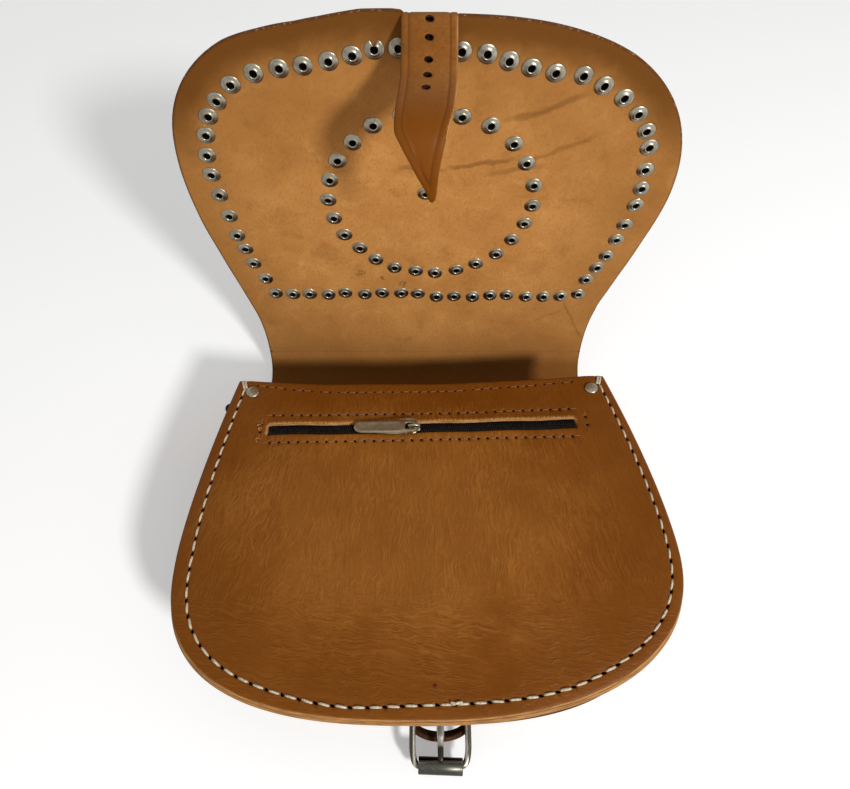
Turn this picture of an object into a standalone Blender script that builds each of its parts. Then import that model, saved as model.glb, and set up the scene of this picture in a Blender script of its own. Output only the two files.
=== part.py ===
# A studded leather saddle bag, lying on its back with the flap opened and standing up.
# Metres, +Z up. The origin is on the back panel's resting face, at the middle of its height.
# +X is to the right and +Y is towards the mouth and the flap, seen from the bag's bottom.

import math

import bmesh
import bpy
from mathutils import Matrix, Vector

# The hides and how they lie on each other
hide_thickness = 0.0022
gusset_thickness = 0.0020
lining_thickness = 0.0008
fit_gap = 0.0003
cut_overrun = 0.0020
bag_depth = 0.062

# The front panel's outline, and the back panel that is a little shorter
panel_height = 0.186
panel_top_half_width = 0.1135
panel_widest_half_width = 0.132
panel_widest_below_top = 0.108
panel_side_exponent = 1.5
panel_corner_exponent = 2.75
back_panel_shortening = 0.006
side_points = 9
corner_points = 14

# The seam rim, where the gusset's turned-out flanges meet the panels
seam_rim_width = 0.0155
seam_inset = 0.0073
thread_width = 0.0010
thread_height = 0.0009

# The neck that bends round the mouth, and the flap
neck_flat_length = 0.0355
neck_bend_radius = 0.017
neck_bend_angle = math.radians(77)
neck_straight_length = 0.0263
neck_narrowest_half_width = 0.1096
neck_narrowest_share = 0.75
flap_lean_angle = math.radians(87.9)
flap_length = 0.2106
flap_shoulder_length = 0.0206
flap_widest_half_width = 0.1313
flap_widest_below_shoulder = 0.095
fold_bevel_angle = math.radians(42)
fold_half_gap = 0.00015

# The eyelets that stud the flap
eyelet_radius = 0.00465
eyelet_top_radius = 0.0040
eyelet_hole_radius = 0.00175
eyelet_height = 0.0011
eyelet_sides = 6
border_inset = 0.0168
border_side_count = 19
border_gap_beside_strap = 0.0141
row_from_fold = 0.0324
row_half_length = 0.0983
row_count = 18
border_start_above_row = 0.0123
ring_from_fold = 0.1072
ring_offset = 0.0032
ring_radius = 0.0560
ring_count = 26

# The strap that hangs from the flap
strap_width = 0.0244
strap_thickness = 0.0024
strap_offset = 0.002
strap_anchor_length = 0.038
strap_anchor_half_width = 0.0087
strap_anchor_shoulder = 0.0125
strap_anchor_point = 0.0050
strap_lift = 0.0012
strap_taper_length = 0.044
strap_length = 0.1045
strap_hole_radius = 0.0017
strap_hole_pitch = 0.0093
strap_first_hole = 0.0058
strap_hole_count = 5
strap_tip_half_width = 0.0012
strap_stations = 20
# Heading of the strap along its length, from over the flap's edge to the hanging tip
strap_heading_shares = (
    (0, -0.03),
    (0.06, -0.15),
    (0.17, -0.17),
    (0.29, -0.06),
    (0.4, 0),
    (0.52, -0.12),
    (0.63, -0.36),
    (0.77, -0.54),
    (1, -0.58),
)

# The zip in the front panel
zip_below_top = 0.0317
zip_tilt = math.radians(1.4)
zip_offset = -0.001
zip_slot_half_length = 0.091
zip_slot_half_width = 0.0034
zip_tape_half_length = 0.095
zip_tape_width = 0.0112
zip_tape_thickness = 0.0006
zip_row_gap = 0.0016
zip_coil_width = 0.0020
zip_coil_height = 0.0015
slider_offset = -0.006
slider_half_length = 0.0050
slider_half_width = 0.0030
slider_plate = 0.0010
slider_post_half_length = 0.0025
slider_post_half_width = 0.0005
bail_half_length = 0.0040
bail_half_width = 0.0008
bail_thickness = 0.0010
puller_length = 0.0355
puller_width = 0.0075
puller_thickness = 0.0012
puller_end_bar = 0.0007
puller_hole_length = 0.0050
puller_hole_width = 0.0042

# The pocket behind the zip, and the facing inside the mouth
pouch_half_width = 0.092
pouch_top = 0.020
pouch_bottom = 0.150
pouch_step_length = 0.0015
facing_depth = 0.015
facing_inset = 0.0005
facing_side_inset = 0.0215
facing_thickness = 0.0012

# Rivets: a domed cap, a post and a burr
corner_rivet_below_top = 0.0080
corner_rivet_inset = 0.0124
cap_radius = 0.0044
cap_height = 0.0021
cap_rim = 0.0006
post_radius = 0.0014
burr_radius = 0.0022
burr_thickness = 0.0008
cap_rise_shares = ((0.8, 0.75), (0.45, 1))
rivet_sides = 14

# The side tabs and their rings
tab_leather = 0.0032
side_tab_width = 0.016
side_tab_base_start = 0.040
side_tab_base_end = 0.058
side_tab_loop_below_mouth = 0.0035
side_tab_reach_left = 0.0260
side_tab_reach_right = 0.0115
side_tab_rivet_y = 0.047
ring_wire_radius = 0.0013
ring_bore_radius = 0.0019
ring_half_width = 0.0102
ring_depth = 0.0150
# Each ring's heading, turned from straight down the bag's side
ring_turn_left = math.radians(75)
ring_turn_right = math.radians(30)
loop_wall = 0.0017

# The buckle, its tab and the keeper
buckle_offset = 0.008
buckle_tab_half_width = 0.0105
buckle_tab_top = 0.046
buckle_tab_turn = 0.020
buckle_tongue_slot = 0.0052
buckle_pin_below_panel = 0.0090
buckle_pin_height = 0.0136
buckle_rivet_heights = (0.028, 0.040)
frame_wire_radius = 0.0016
frame_bore_radius = 0.0020
frame_half_width = 0.0146
frame_far_half_width = 0.0132
frame_length = 0.0252
frame_straight_length = 0.0170
frame_corner = 0.0022
frame_droop_angle = math.radians(8)
roller_half_length = 0.0112
roller_radius = 0.0042
roller_bore_radius = 0.0020
tongue_width = 0.0032
tongue_thickness = 0.0016
tongue_eye_radius = 0.0033
tongue_overreach = 0.0015
keeper_half_width = 0.0140
keeper_thickness = 0.0025
keeper_reach = 0.0080
keeper_height = 0.0046
round_sides = 16

mouth_y = panel_height / 2
front_top = bag_depth
front_under = front_top - hide_thickness
rim_top = front_under - fit_gap
rim_under = rim_top - gusset_thickness
back_rim_under = hide_thickness + fit_gap
back_rim_top = back_rim_under + gusset_thickness
wall_inset = seam_rim_width + gusset_thickness


def clear_scene():
    for obj in list(bpy.data.objects):
        bpy.data.objects.remove(obj, do_unlink=True)


def make_material(name, colour, roughness, metallic=0):
    material = bpy.data.materials.new(name)
    material.use_nodes = True
    shader = material.node_tree.nodes["Principled BSDF"]
    shader.inputs["Base Color"].default_value = (*colour, 1)
    shader.inputs["Roughness"].default_value = roughness
    shader.inputs["Metallic"].default_value = metallic
    return material


def add_object(name, bm, material, smooth=False):
    bmesh.ops.recalc_face_normals(bm, faces=bm.faces)
    mesh = bpy.data.meshes.new(name)
    bm.to_mesh(mesh)
    bm.free()
    mesh.materials.append(material)
    if smooth:
        mesh.shade_smooth()
        mesh.set_sharp_from_angle(angle=math.radians(40))
    obj = bpy.data.objects.new(name, mesh)
    bpy.context.scene.collection.objects.link(obj)
    return obj


def place_at(obj, position):
    """Moves an object's origin to a world position and leaves its surface where it is."""
    obj.data.transform(Matrix.Translation(-Vector(position)))
    obj.location = position
    return obj


def extrude_outline(outline, low, high, to_world):
    """A prism with a flat outline; to_world turns (first, second, height) into a world point."""
    bm = bmesh.new()
    rings = [[bm.verts.new(to_world(a, b, h)) for a, b in outline] for h in (low, high)]
    bm.faces.new(rings[0])
    bm.faces.new(rings[1])
    count = len(outline)
    for i in range(count):
        j = (i + 1) % count
        bm.faces.new((rings[0][i], rings[0][j], rings[1][j], rings[1][i]))
    return bm


def along_z(a, b, height):
    return Vector((a, b, height))


def along_x(a, b, height):
    return Vector((height, a, b))


def along_y(a, b, height):
    return Vector((a, height, b))


def box_mesh(low, high):
    corners = [(low[0], low[1]), (high[0], low[1]), (high[0], high[1]), (low[0], high[1])]
    return extrude_outline(corners, low[2], high[2], along_z)


def bridge_rings(bm, rings, closed=False):
    count = len(rings[0])
    pairs = list(zip(rings, rings[1:] + rings[:1] if closed else rings[1:]))
    for first, second in pairs:
        for i in range(count):
            j = (i + 1) % count
            bm.faces.new((first[i], first[j], second[j], second[i]))
    if not closed:
        bm.faces.new(rings[0])
        bm.faces.new(rings[-1])


def turned_mesh(profile, sides, base, axis):
    """Turns a profile of (radius, height) pairs round an axis; the ends lie on the axis."""
    turn = Vector((0, 0, 1)).rotation_difference(Vector(axis)).to_matrix()
    bm = bmesh.new()
    rings = []
    for radius, height in profile:
        ring = []
        for i in range(sides):
            angle = 2 * math.pi * i / sides
            point = Vector((radius * math.cos(angle), radius * math.sin(angle), height))
            ring.append(bm.verts.new(Vector(base) + turn @ point))
        rings.append(ring)
    bridge_rings(bm, rings)
    return bm


def tube_mesh(outer, bore, low, high, sides, base, axis):
    """A plain ring or tube with a bore right through it."""
    profile = ((outer, low), (outer, high), (bore, high), (bore, low))
    turn = Vector((0, 0, 1)).rotation_difference(Vector(axis)).to_matrix()
    bm = bmesh.new()
    rings = []
    for radius, height in profile:
        ring = []
        for i in range(sides):
            angle = 2 * math.pi * i / sides
            point = Vector((radius * math.cos(angle), radius * math.sin(angle), height))
            ring.append(bm.verts.new(Vector(base) + turn @ point))
        rings.append(ring)
    bridge_rings(bm, rings, closed=True)
    return bm


def combine(target, tool_mesh, operation, material):
    """Cuts a tool from the target, or joins it on, and hides the tool."""
    tool = add_object(target.name + "_tool", tool_mesh, material)
    tool.hide_render = True
    tool.display_type = "WIRE"
    tool.parent = target.parent
    modifier = target.modifiers.new(operation.lower(), "BOOLEAN")
    modifier.operation = operation
    modifier.object = tool
    return tool


def side_half_width(below_top, height, top_half, widest_half, widest_below_top):
    """Half the width of a panel at a distance below its top edge."""
    if below_top <= widest_below_top:
        narrowing = (1 - below_top / widest_below_top) ** panel_side_exponent
        return widest_half - (widest_half - top_half) * narrowing
    drop = (below_top - widest_below_top) / (height - widest_below_top)
    return widest_half * (1 - drop**panel_corner_exponent) ** (1 / panel_corner_exponent)


def panel_outline(height, widest_half, widest_below_top):
    """The open outline (x, below_top) from the top left corner round the bottom to the top right."""
    left = []
    for i in range(side_points):
        below = widest_below_top * i / side_points
        half = side_half_width(below, height, panel_top_half_width, widest_half, widest_below_top)
        left.append((-half, below))
    power = 2 / panel_corner_exponent
    for i in range(corner_points):
        angle = math.pi / 2 * i / corner_points
        x = widest_half * math.cos(angle) ** power
        y = (height - widest_below_top) * math.sin(angle) ** power
        left.append((-x, widest_below_top + y))
    right = [(-x, below) for x, below in reversed(left)]
    return left + [(0, height)] + right


def to_bag(points):
    return [Vector((x, mouth_y - below)) for x, below in points]


def inset_path(path, distance):
    """Moves an open path inwards; its two ends slide along the mouth's straight edge."""
    moved = []
    last = len(path) - 1
    for i, point in enumerate(path):
        tangent = (path[min(i + 1, last)] - path[max(i - 1, 0)]).normalized()
        inward = Vector((-tangent.y, tangent.x))
        if i in (0, last):
            inward = Vector((math.copysign(1 / abs(inward.x), inward.x), 0))
        moved.append(point + inward * distance)
    return moved


def sloped_wall_y(height):
    """The outer face of the gusset's bottom wall, which runs in a little towards the back."""
    front_y = -mouth_y + seam_rim_width
    share = (rim_under - height) / (rim_under - back_rim_top)
    return front_y + back_panel_shortening * share


front_path = to_bag(panel_outline(panel_height, panel_widest_half_width, panel_widest_below_top))
back_height = panel_height - back_panel_shortening
back_path = to_bag(panel_outline(back_height, panel_widest_half_width, panel_widest_below_top))

clear_scene()
grain_leather = make_material("grain_leather", (0.24, 0.095, 0.025), 0.45)
flesh_leather = make_material("flesh_leather", (0.40, 0.21, 0.085), 0.75)
dark_leather = make_material("dark_leather", (0.075, 0.025, 0.012), 0.5)
lining_leather = make_material("lining_leather", (0.30, 0.17, 0.09), 0.8)
zip_stand = bpy.data.objects.new("zip_stand", None)
bpy.context.scene.collection.objects.link(zip_stand)
zip_stand.location = (slider_offset, mouth_y - zip_below_top, 0)
zip_stand.rotation_euler = (0, 0, zip_tilt)

waxed_thread = make_material("waxed_thread", (0.62, 0.53, 0.38), 0.6)
nickel = make_material("nickel", (0.55, 0.53, 0.49), 0.3, 1)
zip_cloth = make_material("zip_cloth", (0.012, 0.012, 0.014), 0.85)
zip_nylon = make_material("zip_nylon", (0.015, 0.015, 0.018), 0.45)


def put_on_zip(obj):
    """Turns an object with the zip, which lies a little askew on the front panel."""
    obj.parent = zip_stand
    obj.matrix_parent_inverse = Matrix.Translation(-zip_stand.location)
    return obj


def make_back_panel():
    outline = [tuple(p) for p in back_path]
    add_object("back_panel", extrude_outline(outline, 0, hide_thickness, along_z), grain_leather)


def make_front_panel():
    outline = [tuple(p) for p in front_path]
    panel_mesh = extrude_outline(outline, front_under, front_top, along_z)
    panel = add_object("front_panel", panel_mesh, grain_leather)
    slot_y = mouth_y - zip_below_top
    low = (zip_offset - zip_slot_half_length, slot_y - zip_slot_half_width, front_under - cut_overrun)
    high = (zip_offset + zip_slot_half_length, slot_y + zip_slot_half_width, front_top + cut_overrun)
    put_on_zip(combine(panel, box_mesh(low, high), "DIFFERENCE", lining_leather))
    for x, y in corner_rivet_places():
        hole = rivet_hole((x, y, front_under), (0, 0, 1), hide_thickness)
        combine(panel, hole, "DIFFERENCE", lining_leather)


def corner_rivet_places():
    y = mouth_y - corner_rivet_below_top
    x = side_wall_point(y, corner_rivet_inset)
    return [(-x, y), (x, y)]


def rivet_hole(base, axis, length):
    radius = post_radius + fit_gap
    profile = ((radius, -cut_overrun), (radius, length + cut_overrun))
    return turned_mesh(profile, rivet_sides, base, axis)


def make_rivet(name, base, axis, grip):
    """A rivet through a stack of leather that is grip thick; base is on the stack's inner face."""
    inner = -fit_gap
    outer = grip + fit_gap
    profile = (
        (burr_radius, inner - burr_thickness),
        (burr_radius, inner),
        (post_radius, inner),
        (post_radius, outer),
        (cap_radius, outer),
        (cap_radius, outer + cap_rim),
    )
    profile += tuple((cap_radius * across, outer + cap_height * up) for across, up in cap_rise_shares)
    return add_object(name, turned_mesh(profile, rivet_sides, base, axis), nickel, smooth=True)


def make_gusset():
    """One strip with both long edges turned outwards; it runs down one side and up the other."""
    front_wall = inset_path(front_path, seam_rim_width)
    front_inner = inset_path(front_path, wall_inset)
    back_wall = inset_path(back_path, seam_rim_width)
    back_inner = inset_path(back_path, wall_inset)
    bm = bmesh.new()
    rings = []
    for i in range(len(front_path)):
        section = (
            (front_path[i], rim_top),
            (front_inner[i], rim_top),
            (back_inner[i], back_rim_under),
            (back_path[i], back_rim_under),
            (back_path[i], back_rim_top),
            (back_wall[i], back_rim_top),
            (front_wall[i], rim_under),
            (front_path[i], rim_under),
        )
        rings.append([bm.verts.new((p.x, p.y, height)) for p, height in section])
    bridge_rings(bm, rings)
    gusset = add_object("gusset", bm, dark_leather)
    for x, y in corner_rivet_places():
        hole = rivet_hole((x, y, rim_under), (0, 0, 1), gusset_thickness)
        combine(gusset, hole, "DIFFERENCE", dark_leather)
    for side in (-1, 1):
        base, axis = side_rivet_place(side)
        combine(gusset, rivet_hole(base, axis, gusset_thickness), "DIFFERENCE", dark_leather)
    for height in buckle_rivet_heights:
        base, axis = buckle_rivet_place(height)
        combine(gusset, rivet_hole(base, axis, gusset_thickness), "DIFFERENCE", dark_leather)


def side_wall_point(y, inset):
    """The wall's x at mid depth on the right side, at a height y of the bag."""
    half = side_half_width(
        mouth_y - y, panel_height, panel_top_half_width, panel_widest_half_width, panel_widest_below_top
    )
    return half - inset / math.cos(side_wall_slope(y))


def side_wall_slope(y):
    step = fit_gap
    args = (panel_height, panel_top_half_width, panel_widest_half_width, panel_widest_below_top)
    rise = side_half_width(mouth_y - y + step, *args) - side_half_width(mouth_y - y - step, *args)
    return math.atan(rise / (2 * step))


def side_normal(y, side):
    slope = side_wall_slope(y)
    return Vector((side * math.cos(slope), math.sin(slope), 0))


def side_rivet_place(side):
    y = side_tab_rivet_y
    inner = Vector((side * side_wall_point(y, wall_inset), y, bag_depth / 2))
    return inner, side_normal(y, side)


def buckle_rivet_place(height):
    axis = Vector((0, -(rim_under - back_rim_top), -back_panel_shortening)).normalized()
    inner = Vector((buckle_offset, sloped_wall_y(height), height)) - axis * gusset_thickness
    return inner, axis


def make_threads():
    """The saddle stitch's thread along the front rim, and along the back rim."""
    for name, path, low in (
        ("front_seam_thread", front_path, front_top + fit_gap),
        ("back_seam_thread", back_path, back_rim_top + fit_gap),
    ):
        outer = inset_path(path, seam_inset - thread_width / 2)
        inner = inset_path(path, seam_inset + thread_width / 2)
        bm = bmesh.new()
        rings = []
        for a, b in zip(outer, inner):
            high = low + thread_height
            corners = ((a, low), (b, low), (b, high), (a, high))
            rings.append([bm.verts.new((p.x, p.y, z)) for p, z in corners])
        bridge_rings(bm, rings)
        add_object(name, bm, waxed_thread)


def make_facing_and_pouch():
    half = panel_top_half_width - facing_side_inset
    low = (-half, mouth_y - facing_depth, rim_top - facing_thickness)
    high = (half, mouth_y - facing_inset, rim_top)
    add_object("mouth_facing", box_mesh(low, high), lining_leather)
    sewn = tape_top() - zip_tape_thickness - fit_gap
    sewn_low = sewn - lining_thickness
    back_top = slider_under() - fit_gap
    back_low = back_top - lining_thickness
    fold_y = mouth_y - pouch_bottom
    inner_y = fold_y + lining_thickness
    top_y = mouth_y - pouch_top
    zip_y = mouth_y - zip_below_top
    slider_side = slider_half_width + slider_plate + fit_gap
    step_start = zip_y + slider_side
    step_end = step_start + pouch_step_length
    outline = (
        (fold_y, back_low),
        (step_start, back_low),
        (step_end, sewn_low),
        (top_y, sewn_low),
        (top_y, sewn),
        (step_end, sewn),
        (step_start, back_top),
        (inner_y, back_top),
        (inner_y, sewn_low),
        (zip_y - slider_side, sewn_low),
        (zip_y - slider_side, sewn),
        (fold_y, sewn),
    )
    left, right = zip_offset - pouch_half_width, zip_offset + pouch_half_width
    pouch = extrude_outline(outline, left, right, along_x)
    put_on_zip(add_object("zip_pocket_pouch", pouch, lining_leather))


def tape_top():
    return front_under - fit_gap


def slider_under():
    return tape_top() - zip_tape_thickness - fit_gap - slider_plate


def make_zip_rows():
    slot_y = mouth_y - zip_below_top
    for name, side in (("upper", 1), ("lower", -1)):
        near = slot_y + side * zip_row_gap / 2
        tape_far = near + side * zip_tape_width
        left, right = zip_offset - zip_tape_half_length, zip_offset + zip_tape_half_length
        tape_low = (left, min(near, tape_far), tape_top() - zip_tape_thickness)
        tape_high = (right, max(near, tape_far), tape_top())
        put_on_zip(add_object("zip_tape_" + name, box_mesh(tape_low, tape_high), zip_cloth))
        coil_far = near + side * zip_coil_width
        reach = zip_slot_half_length - fit_gap
        coil_base = tape_top() + fit_gap
        coil_low = (zip_offset - reach, min(near, coil_far), coil_base)
        coil_high = (zip_offset + reach, max(near, coil_far), coil_base + zip_coil_height)
        put_on_zip(add_object("zip_coil_" + name, box_mesh(coil_low, coil_high), zip_nylon))


def make_slider_and_puller():
    centre = Vector((slider_offset, mouth_y - zip_below_top, 0))
    parts = []
    plate_base = tape_top() + fit_gap + zip_coil_height + fit_gap
    plate_top = plate_base + slider_plate
    under = slider_under()
    under_top = under + slider_plate
    under_half_width = slider_half_width + slider_plate

    def slider_box(half_x, half_y, low, high):
        return box_mesh((-half_x, -half_y, low), (half_x, half_y, high))

    slider = add_object(
        "zip_slider", slider_box(slider_half_length, slider_half_width, plate_base, plate_top), nickel
    )
    lower = slider_box(slider_half_length, under_half_width, under, under_top)
    parts.append(combine(slider, lower, "UNION", nickel))
    overlap = slider_plate / 2
    post = slider_box(
        slider_post_half_length, slider_post_half_width, under_top - overlap, plate_base + overlap
    )
    parts.append(combine(slider, post, "UNION", nickel))
    pivot_z = plate_top + fit_gap + puller_end_bar + fit_gap
    bail_inner_top = pivot_z + puller_end_bar + fit_gap
    inner_half = bail_half_length - bail_thickness
    bail_outline = (
        (-bail_half_length, plate_top - overlap),
        (-inner_half, plate_top - overlap),
        (-inner_half, bail_inner_top),
        (inner_half, bail_inner_top),
        (inner_half, plate_top - overlap),
        (bail_half_length, plate_top - overlap),
        (bail_half_length, bail_inner_top),
        (inner_half, bail_inner_top + bail_thickness),
        (-inner_half, bail_inner_top + bail_thickness),
        (-bail_half_length, bail_inner_top),
    )
    bail = extrude_outline(bail_outline, -bail_half_width, bail_half_width, along_y)
    parts.append(combine(slider, bail, "UNION", nickel))
    for obj in [slider] + parts:
        obj.location = centre
        put_on_zip(obj)

    half = puller_width / 2
    far = -puller_length + half
    outline = []
    steps = 5
    for i in range(steps + 1):
        angle = math.pi / 2 + math.pi * i / steps
        outline.append((far + half * math.cos(angle), half * math.sin(angle)))
    outline += [(puller_end_bar - half / 2, -half), (puller_end_bar, -half / 2)]
    outline += [(puller_end_bar, half / 2), (puller_end_bar - half / 2, half)]
    pull = extrude_outline(outline, -puller_thickness / 2, puller_thickness / 2, along_z)
    puller = add_object("zip_puller", pull, nickel)
    puller.location = (centre.x, centre.y, pivot_z)
    put_on_zip(puller)
    hole_low = (-puller_end_bar - puller_hole_length, -puller_hole_width / 2, -puller_thickness)
    hole_high = (-puller_end_bar, puller_hole_width / 2, puller_thickness)
    tool = combine(puller, box_mesh(hole_low, hole_high), "DIFFERENCE", nickel)
    tool.location = puller.location
    put_on_zip(tool)


def neck_profile():
    """Middle line of the neck as (y, z, heading, length so far), from the back panel's top edge."""
    middle = hide_thickness / 2
    stations = [(mouth_y + fit_gap, middle, 0, 0)]
    bend_start = mouth_y + neck_flat_length
    stations.append((bend_start, middle, 0, neck_flat_length))
    radius = neck_bend_radius + middle
    bend_steps = 7
    for i in range(1, bend_steps + 1):
        angle = neck_bend_angle * i / bend_steps
        y = bend_start + radius * math.sin(angle)
        z = middle + radius * (1 - math.cos(angle))
        stations.append((y, z, angle, neck_flat_length + radius * angle))
    y, z, angle, length = stations[-1]
    y += neck_straight_length * math.cos(angle)
    z += neck_straight_length * math.sin(angle)
    stations.append((y, z, angle, length + neck_straight_length))
    return stations


def neck_half_width(length, total):
    narrowest_at = total * neck_narrowest_share
    share = (length - narrowest_at) / narrowest_at
    return neck_narrowest_half_width + (panel_top_half_width - neck_narrowest_half_width) * share**2


def fold_line():
    y, z, _, length = neck_profile()[-1]
    return Vector((0, y, z)), length


def bevel_end(bm, tip, heading):
    """Cuts an end back to a line through the tip, sloping away on both faces."""
    for side in (-1, 1):
        turn = Matrix.Rotation(side * fold_bevel_angle, 3, "X")
        normal = turn @ heading
        geometry = bm.verts[:] + bm.edges[:] + bm.faces[:]
        bmesh.ops.bisect_plane(bm, geom=geometry, plane_co=tip, plane_no=normal, clear_outer=True)
        open_edges = [edge for edge in bm.edges if edge.is_boundary]
        bmesh.ops.holes_fill(bm, edges=open_edges)


def ribbon_mesh(stations, thickness):
    """A strip across X, from (y, z, heading, half width, x) stations on its middle line."""
    bm = bmesh.new()
    rings = []
    for y, z, heading, half, x in stations:
        up = Vector((0, -math.sin(heading), math.cos(heading))) * thickness / 2
        middle = Vector((x, y, z))
        side = Vector((half, 0, 0))
        corners = (middle - side - up, middle + side - up, middle + side + up, middle - side + up)
        rings.append([bm.verts.new(corner) for corner in corners])
    bridge_rings(bm, rings)
    return bm


def make_neck():
    profile = neck_profile()
    total = profile[-1][3]
    stations = [(y, z, angle, neck_half_width(length, total), 0) for y, z, angle, length in profile]
    bm = ribbon_mesh(stations, hide_thickness)
    heading = Vector((0, math.cos(neck_bend_angle), math.sin(neck_bend_angle)))
    tip = fold_line()[0] - heading * fold_half_gap
    bevel_end(bm, tip, heading)
    neck = add_object("flap_neck", bm, flesh_leather)
    place_at(neck, (0, mouth_y + fold_half_gap, hide_thickness))


def flap_outline():
    """The flap's outline (x, from_fold): the shoulders near the fold, then the panel's own form."""
    height = flap_length - flap_shoulder_length
    body = panel_outline(height, flap_widest_half_width, flap_widest_below_shoulder)
    shaped = [(x, below + flap_shoulder_length) for x, below in body]
    total = fold_line()[1]
    fold_half = neck_half_width(total, total)
    return [(-fold_half, fold_half_gap)] + shaped + [(fold_half, fold_half_gap)]


def evenly_spaced(path, count):
    lengths = [0]
    for a, b in zip(path, path[1:]):
        lengths.append(lengths[-1] + (b - a).length)
    found = []
    for i in range(count):
        wanted = lengths[-1] * i / (count - 1)
        k = min(len(lengths) - 2, max(j for j, value in enumerate(lengths) if value <= wanted))
        share = (wanted - lengths[k]) / (lengths[k + 1] - lengths[k])
        found.append(path[k].lerp(path[k + 1], share))
    return found


def eyelet_places():
    """Places (x, from_fold) of the border, the straight row and the ring with its centre."""
    places = []
    for i in range(row_count):
        share = i / (row_count - 1)
        places.append((row_half_length * (2 * share - 1), row_from_fold))
    outline = [Vector(p) for p in flap_outline()]
    border = inset_path(outline, -border_inset)
    start = row_from_fold + border_start_above_row
    for side in (-1, 1):
        reach = border_gap_beside_strap
        half = [p for p in border if p.y > start and side * (p.x - strap_offset) > reach]
        if side > 0:
            half.reverse()
        end_y = half[-1].y
        half.append(Vector((strap_offset + side * reach, end_y)))
        places += [(p.x, p.y) for p in evenly_spaced(half, border_side_count)]
    for i in range(ring_count):
        angle = 2 * math.pi * i / ring_count
        places.append(
            (ring_offset + ring_radius * math.cos(angle), ring_from_fold + ring_radius * math.sin(angle))
        )
    places.append((ring_offset, ring_from_fold))
    return places


def make_flap():
    """The flap is modelled flat, from its fold line along +Y, and then stood up on the fold."""
    fold, _ = fold_line()
    stand = bpy.data.objects.new("flap_stand", None)
    bpy.context.scene.collection.objects.link(stand)
    stand.location = fold
    stand.rotation_euler = (flap_lean_angle, 0, 0)
    half = hide_thickness / 2
    bm = extrude_outline(flap_outline(), -half, half, along_z)
    bevel_end(bm, Vector((0, fold_half_gap, 0)), Vector((0, -1, 0)))
    flap = add_object("flap_panel", bm, flesh_leather)
    flap.parent = stand
    top = half + eyelet_height
    flange = (
        (eyelet_top_radius, -top),
        (eyelet_radius, -half),
        (eyelet_radius, half),
        (eyelet_top_radius, top),
    )
    bore = ((eyelet_hole_radius, -top - cut_overrun), (eyelet_hole_radius, top + cut_overrun))
    tools = bmesh.new()
    holes = bmesh.new()
    for x, from_fold in eyelet_places():
        for store, shape in ((tools, flange), (holes, bore)):
            one = turned_mesh(shape, eyelet_sides, (x, from_fold, 0), (0, 0, 1))
            mesh = bpy.data.meshes.new("eyelet")
            one.to_mesh(mesh)
            one.free()
            store.from_mesh(mesh)
            bpy.data.meshes.remove(mesh)
    combine(flap, tools, "UNION", nickel)
    combine(flap, holes, "DIFFERENCE", nickel)
    make_strap(stand)


def make_strap(stand):
    half = hide_thickness / 2
    near = -half - fit_gap
    narrow = strap_anchor_half_width
    tail = flap_length - strap_anchor_length
    right = (
        (strap_width / 2, flap_length + strap_lift),
        (strap_width / 2, flap_length),
        (narrow, flap_length - strap_anchor_shoulder),
        (narrow, tail + strap_anchor_point),
        (narrow / 2, tail),
    )
    outline = [(strap_offset + x, y) for x, y in right]
    outline += [(strap_offset - x, y) for x, y in reversed(right)]
    anchor_mesh = extrude_outline(outline, near - strap_thickness, near, along_z)
    anchor = add_object("strap_anchor", anchor_mesh, grain_leather)
    anchor.parent = stand
    pivot = Vector((0, flap_length + strap_lift + fold_half_gap, near))
    hinge = bpy.data.objects.new("strap_hinge", None)
    bpy.context.scene.collection.objects.link(hinge)
    hinge.parent = stand
    hinge.location = pivot
    stations = []
    y, z = strap_thickness / 2, 0
    step = strap_length / (strap_stations - 1)
    shares = strap_heading_shares
    for i in range(strap_stations):
        share = i / (strap_stations - 1)
        k = min(len(shares) - 2, max(j for j, pair in enumerate(shares) if pair[0] <= share))
        blend = (share - shares[k][0]) / (shares[k + 1][0] - shares[k][0])
        turn = math.pi * (shares[k][1] + (shares[k + 1][1] - shares[k][1]) * blend)
        heading = math.pi / 2 - turn
        from_tip = strap_length - step * i
        half_width = strap_tip_half_width + (strap_width / 2 - strap_tip_half_width) * min(
            1, from_tip / strap_taper_length
        )
        stations.append((y, z, heading, half_width, strap_offset))
        y += step * math.cos(heading)
        z += step * math.sin(heading)
    strap = add_object("flap_strap", ribbon_mesh(stations, strap_thickness), grain_leather)
    strap.parent = hinge
    for i in range(strap_hole_count):
        place = (strap_first_hole + strap_hole_pitch * i) / step
        k = int(place)
        a, b = stations[k], stations[k + 1]
        share = place - k
        centre = Vector((strap_offset, a[0] + (b[0] - a[0]) * share, a[1] + (b[1] - a[1]) * share))
        heading = a[2] + (b[2] - a[2]) * share
        axis = Vector((0, -math.sin(heading), math.cos(heading)))
        profile = ((strap_hole_radius, -strap_thickness), (strap_hole_radius, strap_thickness))
        hole = turned_mesh(profile, rivet_sides, centre, axis)
        tool = combine(strap, hole, "DIFFERENCE", grain_leather)
        tool.parent = hinge


def strip_with_loop(path, eye, eye_radius, thickness):
    """Outline of a folded strip along a path that ends in a loop round an eye."""
    half = thickness / 2
    left, right = [], []
    line = path + [eye]
    for i, point in enumerate(path):
        before = line[max(i - 1, 0)]
        after = line[i + 1]
        tangent = (after - before).normalized()
        normal = Vector((-tangent.y, tangent.x))
        left.append(point + normal * half)
        right.append(point - normal * half)
    back = (path[-1] - eye).normalized()
    opening = math.asin(half / eye_radius)
    start = math.atan2(back.y, back.x)
    arc = []
    steps = 10
    for i in range(steps + 1):
        angle = start - opening - (2 * math.pi - 2 * opening) * i / steps
        arc.append(eye + Vector((math.cos(angle), math.sin(angle))) * eye_radius)
    return [tuple(p) for p in left + arc + list(reversed(right))]


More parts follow.
